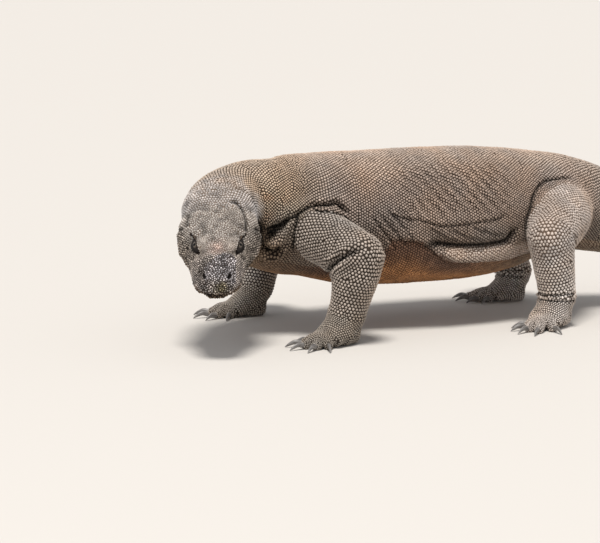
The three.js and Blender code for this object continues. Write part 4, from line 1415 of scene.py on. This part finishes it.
# Scales are lower underneath, lower where they are soft on the head, and higher on the limbs. Their tones differ one
# by one, most of all on the nose, where dark and pale grains mix. They are darker with painted shade in the folds,
# and round the eyes with painted shade and the lids' own dark colour.
SCALE_HEIGHT = 0.29                 # as a share of the spacing
TONE_SPREAD = 0.10
PALE_ONES, PALE_TONE = 0.05, 1.2
NOSE_TONES, NOSE_SHARES = (0.40, 0.84, 1.22, 1.62), (0.22, 0.28, 0.30, 0.20)
LID_SHADE = 0.9
strength = relief_of(marks, roots)
on_spine, on_head, on_limb = (kinds == kind for kind in ("spine", "head", "limb"))
height = SCALE_HEIGHT * pitches * np.where(on_spine, lerp(0.55, 1.0, smooth(rise_of(marks), -60, -20)), 1.0)
height *= np.where(on_head, lerp(0.55, 0.95, strength), np.where(on_limb, 1.2, 1.0))
cover = lerp(0.97, 0.86, strength) - 0.08 * on_head * smooth(strength, 1.0, 1.5)
on_snout = np.where(on_head, nose_patch(to_head(roots) / MM, 0.5), 0.0)
tones = rng.normal(1.0, TONE_SPREAD, len(roots)) * (1 - PAINTED_FOLD_SHADING * painted_fold_shade_and_light[of_skin])
head_spread = lerp(0.10, 0.28, smooth(strength, 0.8, 1.3))
tones *= np.where(on_head, 1 + rng.normal(0.0, 1.0, len(roots)) * head_spread, 1.0)
tones *= np.where(rng.random(len(roots)) < PALE_ONES, PALE_TONE, 1.0)
tones *= lerp(1.0, rng.choice(NOSE_TONES, len(roots), p=NOSE_SHARES), on_snout)
tones = (tones * (1 - LID_SHADE * lid_skin[of_skin])).clip(0.06, 1.8)
colours = hide_colour(roots, marks) * tones[:, None]

CHART_MARGIN = 0.02


def unwrap(marks):
    """Where scales stand on the skin's own unwrap: along each form one way and round it the other."""
    u = np.zeros(len(marks))
    v = (marks[:, 2] / FULL_TURN) % 1.0
    for k in np.unique(marks[:, 0]):
        mine = marks[:, 0] == k
        low, high = marks[mine, 1].min(), marks[mine, 1].max() + 1e-6
        u[mine] = (marks[mine, 1] - low) / (high - low)
    charts, place = np.unique(marks[:, 0], return_inverse=True)
    columns = math.ceil(math.sqrt(len(charts)))
    u = (place % columns + CHART_MARGIN + (1 - 2 * CHART_MARGIN) * u) / columns
    v = (place // columns + CHART_MARGIN + (1 - 2 * CHART_MARGIN) * v) / columns
    return np.stack([u, v], 1)


PATCH = 0.003                       # how wide one scale is on the unwrap
FOOT_DEPTH = 0.0007                 # how far a scale's foot is sunk in the skin
SHOULDER_WIDTH, SHOULDER_HEIGHT = 0.77, 0.72
CROWN_BACK = 0.10                   # how far towards the rear the crown is, as a share of the spacing
WIDTH_SPREAD, HEIGHT_SPREAD = 0.03, 0.08
FLOOR_GAP = 0.0002
# Each scale is painted darker at its foot, as darker skin with painted shade, and paler over its shoulder and crown
# as painted light, the more so the more it stands out.
FOOT_PAINTED_SHADE_TONES, SHOULDER_PAINTED_LIGHT_TONES, CROWN_PAINTED_LIGHT_TONES = (0.70, 0.18), (1.0, 1.14), (1.04, 1.32)    # at no and at full relief
DARKEST_FOOT = 0.12


def coat_piece(name, chosen, sides=SIDES):
    """Joins the chosen scales into one mesh: each has a foot in the skin, a shoulder, and a crown set to the rear."""
    n = len(chosen)
    reach, ways = reaches(sides)
    reach = reach[chosen] * cover[chosen, None] * rng.normal(1.0, WIDTH_SPREAD, (n, sides))
    rim = (ahead[chosen, None] * ways[None, :, :1] + across[chosen, None] * ways[None, :, 1:]) * reach[..., None]
    up = normals[chosen, None]
    tall = height[chosen, None, None] * rng.normal(1.0, HEIGHT_SPREAD, (n, 1, 1))
    foot = roots[chosen, None] + rim - up * FOOT_DEPTH
    shoulder = roots[chosen, None] + rim * SHOULDER_WIDTH + up * tall * SHOULDER_HEIGHT
    crown = roots[chosen, None] + up * tall + ahead[chosen, None] * pitches[chosen, None, None] * CROWN_BACK
    points = np.concatenate([foot, shoulder, crown], 1).reshape(-1, 3)
    points[:, 2] = np.maximum(points[:, 2], FLOOR_GAP)
    k = np.arange(sides)
    after = (k + 1) % sides
    base = (np.arange(n) * (2 * sides + 1))[:, None, None]
    quads = (np.stack([k, after, sides + after, sides + k], 1)[None] + base).reshape(-1, 4)
    tris = (np.stack([sides + k, sides + after, np.full(sides, 2 * sides)], 1)[None] + base).reshape(-1, 3)
    ends = (k[::-1][None, None] + base).reshape(-1, sides)
    loops = np.concatenate([quads.ravel(), tris.ravel(), ends.ravel()])
    sizes = np.concatenate([np.full(len(quads), 4), np.full(len(tris), 3), np.full(len(ends), sides)])
    coat = bpy.data.meshes.new(name)
    coat.vertices.add(len(points))
    coat.vertices.foreach_set("co", points.astype(np.float32).ravel())
    coat.loops.add(len(loops))
    coat.loops.foreach_set("vertex_index", loops.astype(np.int32))
    coat.polygons.add(len(sizes))
    coat.polygons.foreach_set("loop_start", np.concatenate([[0], np.cumsum(sizes)[:-1]]).astype(np.int32))
    coat.polygons.foreach_set("loop_total", sizes.astype(np.int32))
    coat.polygons.foreach_set("use_smooth", np.ones(len(sizes), bool))
    coat.update()
    # Painted shade at each scale's foot and painted light on its shoulder and crown.
    strong = strength[chosen, None]
    tone = np.concatenate([np.repeat(lerp(*FOOT_PAINTED_SHADE_TONES, strong).clip(DARKEST_FOOT), sides, 1),
                           np.repeat(lerp(*SHOULDER_PAINTED_LIGHT_TONES, strong), sides, 1), lerp(*CROWN_PAINTED_LIGHT_TONES, strong)], 1)
    tint = np.concatenate([np.repeat([GAP_TINT], sides, 0), np.ones((sides + 1, 3))])
    paint(coat, (colours[chosen, None] * tone[..., None] * tint).reshape(-1, 3).clip(0, 1))
    flat = np.concatenate([ways, ways * SHOULDER_WIDTH, [[CROWN_BACK, 0]]])
    spots = unwrap(marks[chosen])[:, None] + flat[None] * PATCH / 2
    layer = coat.uv_layers.new(name="OFBake")
    layer.data.foreach_set("uv", spots.reshape(-1, 2)[loops].astype(np.float32).ravel())
    coat.materials.append(hide)
    piece = add_object(name, coat)
    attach(piece, "root")


SPINE_PIECES = [("neck", 0, 3.4), ("shoulders", 3.4, 6.2), ("chest", 6.2, 7.6), ("belly", 7.6, 9.0),
                ("flanks", 9.0, 10.6), ("hips", 10.6, 13.2), ("tail_base", 13.2, 17), ("tail", 17, 25)]
for name, start, end in SPINE_PIECES:
    coat_piece(f"scales_{name}", np.flatnonzero(on_spine & (marks[:, 1] >= start) & (marks[:, 1] < end)))
coat_piece("scales_head", np.flatnonzero(on_head), HEAD_SIDES)
for leg in LEGS:
    coat_piece(f"scales_{leg}", np.flatnonzero(is_of(marks, leg)))

# ---------------------------------------------------------------------------------------------------------------
# Eyes: a wet ball behind the lids, dark brown with a round pupil, as glass eyes are made.
# ---------------------------------------------------------------------------------------------------------------

CORNEA_HEIGHT, CORNEA_RADIUS = 0.7, 7.2     # millimetres, as are all sizes of the eye
BALL_PLAY = 0.2                     # between the ball and the lids
BALL_RINGS, BALL_SIDES = 48, 48
BALL_POLE = 0.03                    # the small flat at each pole, in radians
FLECKS_PER_METRE = 700              # flecks of about 1.4 mm in the iris
FLECK_WAVER = 0.06
# From the pupil's middle outwards, in radians round the ball: black pupil, grey-brown iris, dark rim, brown white.
EYE_RINGS = [(0.0, "#050404"), (0.20, "#050404"), (0.235, "#625a50"), (0.34, "#595047"), (0.47, "#39322c"),
             (0.52, "#120e0b"), (0.66, "#221b17"), (1.0, "#18120f")]

# Wet cornea: as smooth as glass, so that a window or a lamp shows in it as a bright point.
wet_eye, tree, surface = add_material("wet_eye")
surface.inputs["Roughness"].default_value = 0.06
surface.inputs["IOR"].default_value = 1.376
off_pupil = add_node(tree, "ShaderNodeAttribute", {"attribute_name": "off_pupil"})
place_node = add_node(tree, "ShaderNodeTexCoord")
flecks = add_node(tree, "ShaderNodeTexNoise", {"Scale": FLECKS_PER_METRE, "Detail": 4.0},
                  Vector=place_node.outputs["Object"])
uneven = add_node(tree, "ShaderNodeMath", {"operation": "MULTIPLY_ADD"})
tree.links.new(flecks.outputs["Fac"], uneven.inputs[0])
uneven.inputs[1].default_value = FLECK_WAVER
tree.links.new(off_pupil.outputs["Fac"], uneven.inputs[2])
rings = add_node(tree, "ShaderNodeValToRGB", stops=EYE_RINGS, Fac=uneven.outputs["Value"])
tree.links.new(rings.outputs["Color"], surface.inputs["Base Color"])

for name, flank in (("left", 1), ("right", -1)):
    leans = np.linspace(BALL_POLE, math.pi - BALL_POLE, BALL_RINGS)
    lean, turn = (v.ravel() for v in np.meshgrid(leans, evenly_round(BALL_SIDES), indexing="ij"))
    way = (np.cos(lean)[:, None] * EYE_WAY + np.sin(lean)[:, None]
           * (np.cos(turn)[:, None] * slit_long + np.sin(turn)[:, None] * slit_wide))
    radius = BALL - BALL_PLAY + CORNEA_HEIGHT * hump(lean * BALL, 0, CORNEA_RADIUS)
    points = from_head((EYE + way * radius[:, None]) * (1, flank, 1) * MM)
    here = np.arange(BALL_SIDES)
    after = (here + 1) % BALL_SIDES
    quads = [np.stack([here, BALL_SIDES + here, BALL_SIDES + after, after], 1)[:, ::flank] + k * BALL_SIDES
             for k in range(BALL_RINGS - 1)]
    ends = [here[::flank], (BALL_RINGS - 1) * BALL_SIDES + here[::-flank]]
    ball = bpy.data.meshes.new(f"eyeball_{name}")
    ball.from_pydata(points.tolist(), [], np.vstack(quads).tolist() + [end.tolist() for end in ends])
    layer = ball.attributes.new("off_pupil", "FLOAT", "POINT")
    layer.data.foreach_set("value", lean.astype(np.float32))
    ball.shade_smooth()
    ball.materials.append(wet_eye)
    eyeball = add_object(f"eyeball_{name}", ball)
    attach(eyeball, "root")
    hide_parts(f"eye_{name}")

# ---------------------------------------------------------------------------------------------------------------
# Claws: hooked horn, dark slate with paler grain along it, worn smooth and set deep in each toe's end.
# ---------------------------------------------------------------------------------------------------------------

CLAW_ROOT = 0.006                   # how deep the horn is set in the toe
CLAW_ARCH = 0.0022
HORN_SIDES, HORN_RINGS = 14, 18
HORN_SHADES = [(0.30, "#43403f"), (0.50, "#6f6b69"), (0.70, "#a5a19b")]
CLAW_TIP = 0.0008                   # how far its end is rounded
HORN_FLOOR_GAP = 0.0003
GRAIN_LENGTH = 0.1142857            # the grain is drawn out along the claw by this length in metres
GRAINS_ROUND, GRAIN_STARTS = 9.0, 9         # how fine it is, and how far apart the claws take theirs from

# Horn: half polished by the ground, with streaks that are rougher where they are pale.
horn, tree, surface = add_material("dark_horn")
surface.inputs["IOR"].default_value = 1.54
grain_place = add_node(tree, "ShaderNodeAttribute", {"attribute_name": "grain"})
streaks = add_node(tree, "ShaderNodeTexNoise", {"Scale": GRAINS_ROUND, "Detail": 5.0},
                   Vector=grain_place.outputs["Vector"])
shades = add_node(tree, "ShaderNodeValToRGB", stops=HORN_SHADES, Fac=streaks.outputs["Fac"])
tree.links.new(shades.outputs["Color"], surface.inputs["Base Color"])
gloss = add_node(tree, "ShaderNodeMapRange", {"To Min": 0.24, "To Max": 0.46}, Value=streaks.outputs["Fac"])
tree.links.new(gloss.outputs["Result"], surface.inputs["Roughness"])
scratches = add_node(tree, "ShaderNodeBump", {"Strength": 0.3, "Distance": 0.0003}, Height=streaks.outputs["Fac"])
tree.links.new(scratches.outputs["Normal"], surface.inputs["Normal"])


def horn_fullness(angle, place):
    """A claw is flat-sided with a groove under it."""
    return 1 - 0.10 * np.abs(np.sin(2 * angle)) - 0.16 * hump(np.cos(angle), 0, 0.35) * (np.sin(angle) < 0)


HORN_PARTS = {"fore": "hand", "hind": "foot"}
for leg, rows in legs.items():
    points, faces, grain = [], [], []
    for claw in rows["claws"]:
        out = unit(claw[1, :3] - claw[0, :3])
        out[2] = 0
        root = claw[0].copy()
        root[:3] -= out * CLAW_ROOT
        row = np.vstack([root, claw])
        row[2, 2] += CLAW_ARCH
        at, triangles = form(row, HORN_RINGS, HORN_SIDES, fullness=horn_fullness, end_dome=CLAW_TIP)
        faces.append(triangles + sum(len(p) for p in points))
        points.append(at)
        way = (at - root[:3]) @ out / GRAIN_LENGTH
        angle = np.arctan2(at[:, 2] - TOE_TIP_HEIGHT, (at - root[:3]) @ np.cross(UP, out))
        grain.append(np.stack([way + rng.random() * GRAIN_STARTS, np.cos(angle), np.sin(angle)], 1))
    points, faces, grain = np.vstack(points), np.vstack(faces), np.vstack(grain)
    points[:, 2] = np.maximum(points[:, 2], HORN_FLOOR_GAP)
    name = f"horn_{leg}"
    claws = bpy.data.meshes.new(name)
    claws.from_pydata(points.tolist(), [], faces[:, ::-1].tolist())
    layer = claws.attributes.new("grain", "FLOAT_VECTOR", "POINT")
    layer.data.foreach_set("vector", grain.astype(np.float32).ravel())
    claws.shade_smooth()
    claws.materials.append(horn)
    piece = add_object(name, claws)
    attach(piece, "root")
    limb, side = leg.split("_")
    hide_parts(*[f"claw_{HORN_PARTS[limb]}_{side}_{k + 1}" for k in range(5)])

# ---------------------------------------------------------------------------------------------------------------
# Floor, light and camera: a pale floor, a soft sun from above, a weak fill from the front, and a long lens.
# ---------------------------------------------------------------------------------------------------------------

FLOOR_HALF, FLOOR_COLOUR = 40.0, (0.62, 0.59, 0.55)
floor_mesh = bpy.data.meshes.new("floor")
floor_mesh.from_pydata([(x * FLOOR_HALF, y * FLOOR_HALF, 0) for x, y in ((-1, -1), (1, -1), (1, 1), (-1, 1))], [],
                       [(0, 1, 2, 3)])
floor = add_object("floor", floor_mesh)
floor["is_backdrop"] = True
pale, _, surface = add_material("pale_floor")
surface.inputs["Base Color"].default_value = (*FLOOR_COLOUR, 1)
surface.inputs["Roughness"].default_value = 0.9
floor_mesh.materials.append(pale)

world = bpy.data.worlds.new("studio")
bpy.context.scene.world = world
world.use_nodes = True
world.node_tree.nodes["Background"].inputs["Color"].default_value = (0.95, 0.96, 1.0, 1)
world.node_tree.nodes["Background"].inputs["Strength"].default_value = 0.50


def aimed(name, data, way):
    """A lamp or camera that looks along a direction."""
    item = add_object(name, data)
    item.rotation_euler = Vector(way).to_track_quat("-Z", "Y").to_euler()
    return item


sun = bpy.data.lights.new("key", "SUN")
sun.energy = 3.3
sun.angle = math.radians(18)
sun.color = (1.0, 0.97, 0.93)
aimed("key", sun, (0.16, 0.26, -1.0))
FILL_PLACE, FILL_AIM = Vector((-3.6, -3.6, 2.2)), Vector((-0.4, -0.1, 0.2))
panel = bpy.data.lights.new("fill", "AREA")
panel.shape = "RECTANGLE"
panel.size = panel.size_y = 2.4
panel.energy = 18
panel.color = (0.96, 0.98, 1.0)
aimed("fill", panel, FILL_AIM - FILL_PLACE).location = FILL_PLACE

CAMERA_AZIMUTH, CAMERA_ELEVATION, CAMERA_DISTANCE = math.radians(-23), math.radians(9), 5.0
CAMERA_AIM = np.array([0, 0, 0.133]) + SHIFT
PIXELS_WIDE, FOCAL_PIXELS = 600, 2150
back = np.array([math.sin(CAMERA_AZIMUTH) * math.cos(CAMERA_ELEVATION),
                 -math.cos(CAMERA_AZIMUTH) * math.cos(CAMERA_ELEVATION), math.sin(CAMERA_ELEVATION)])
camera_data = bpy.data.cameras.new("camera")
camera_data.sensor_width = 36
camera_data.lens = camera_data.sensor_width * FOCAL_PIXELS / PIXELS_WIDE
camera_data.clip_end = 50
camera = aimed("camera", camera_data, -back)
camera.location = CAMERA_AIM + back * CAMERA_DISTANCE
bpy.context.scene.camera = camera
bpy.context.scene.view_settings.view_transform = "Standard"

low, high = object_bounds()
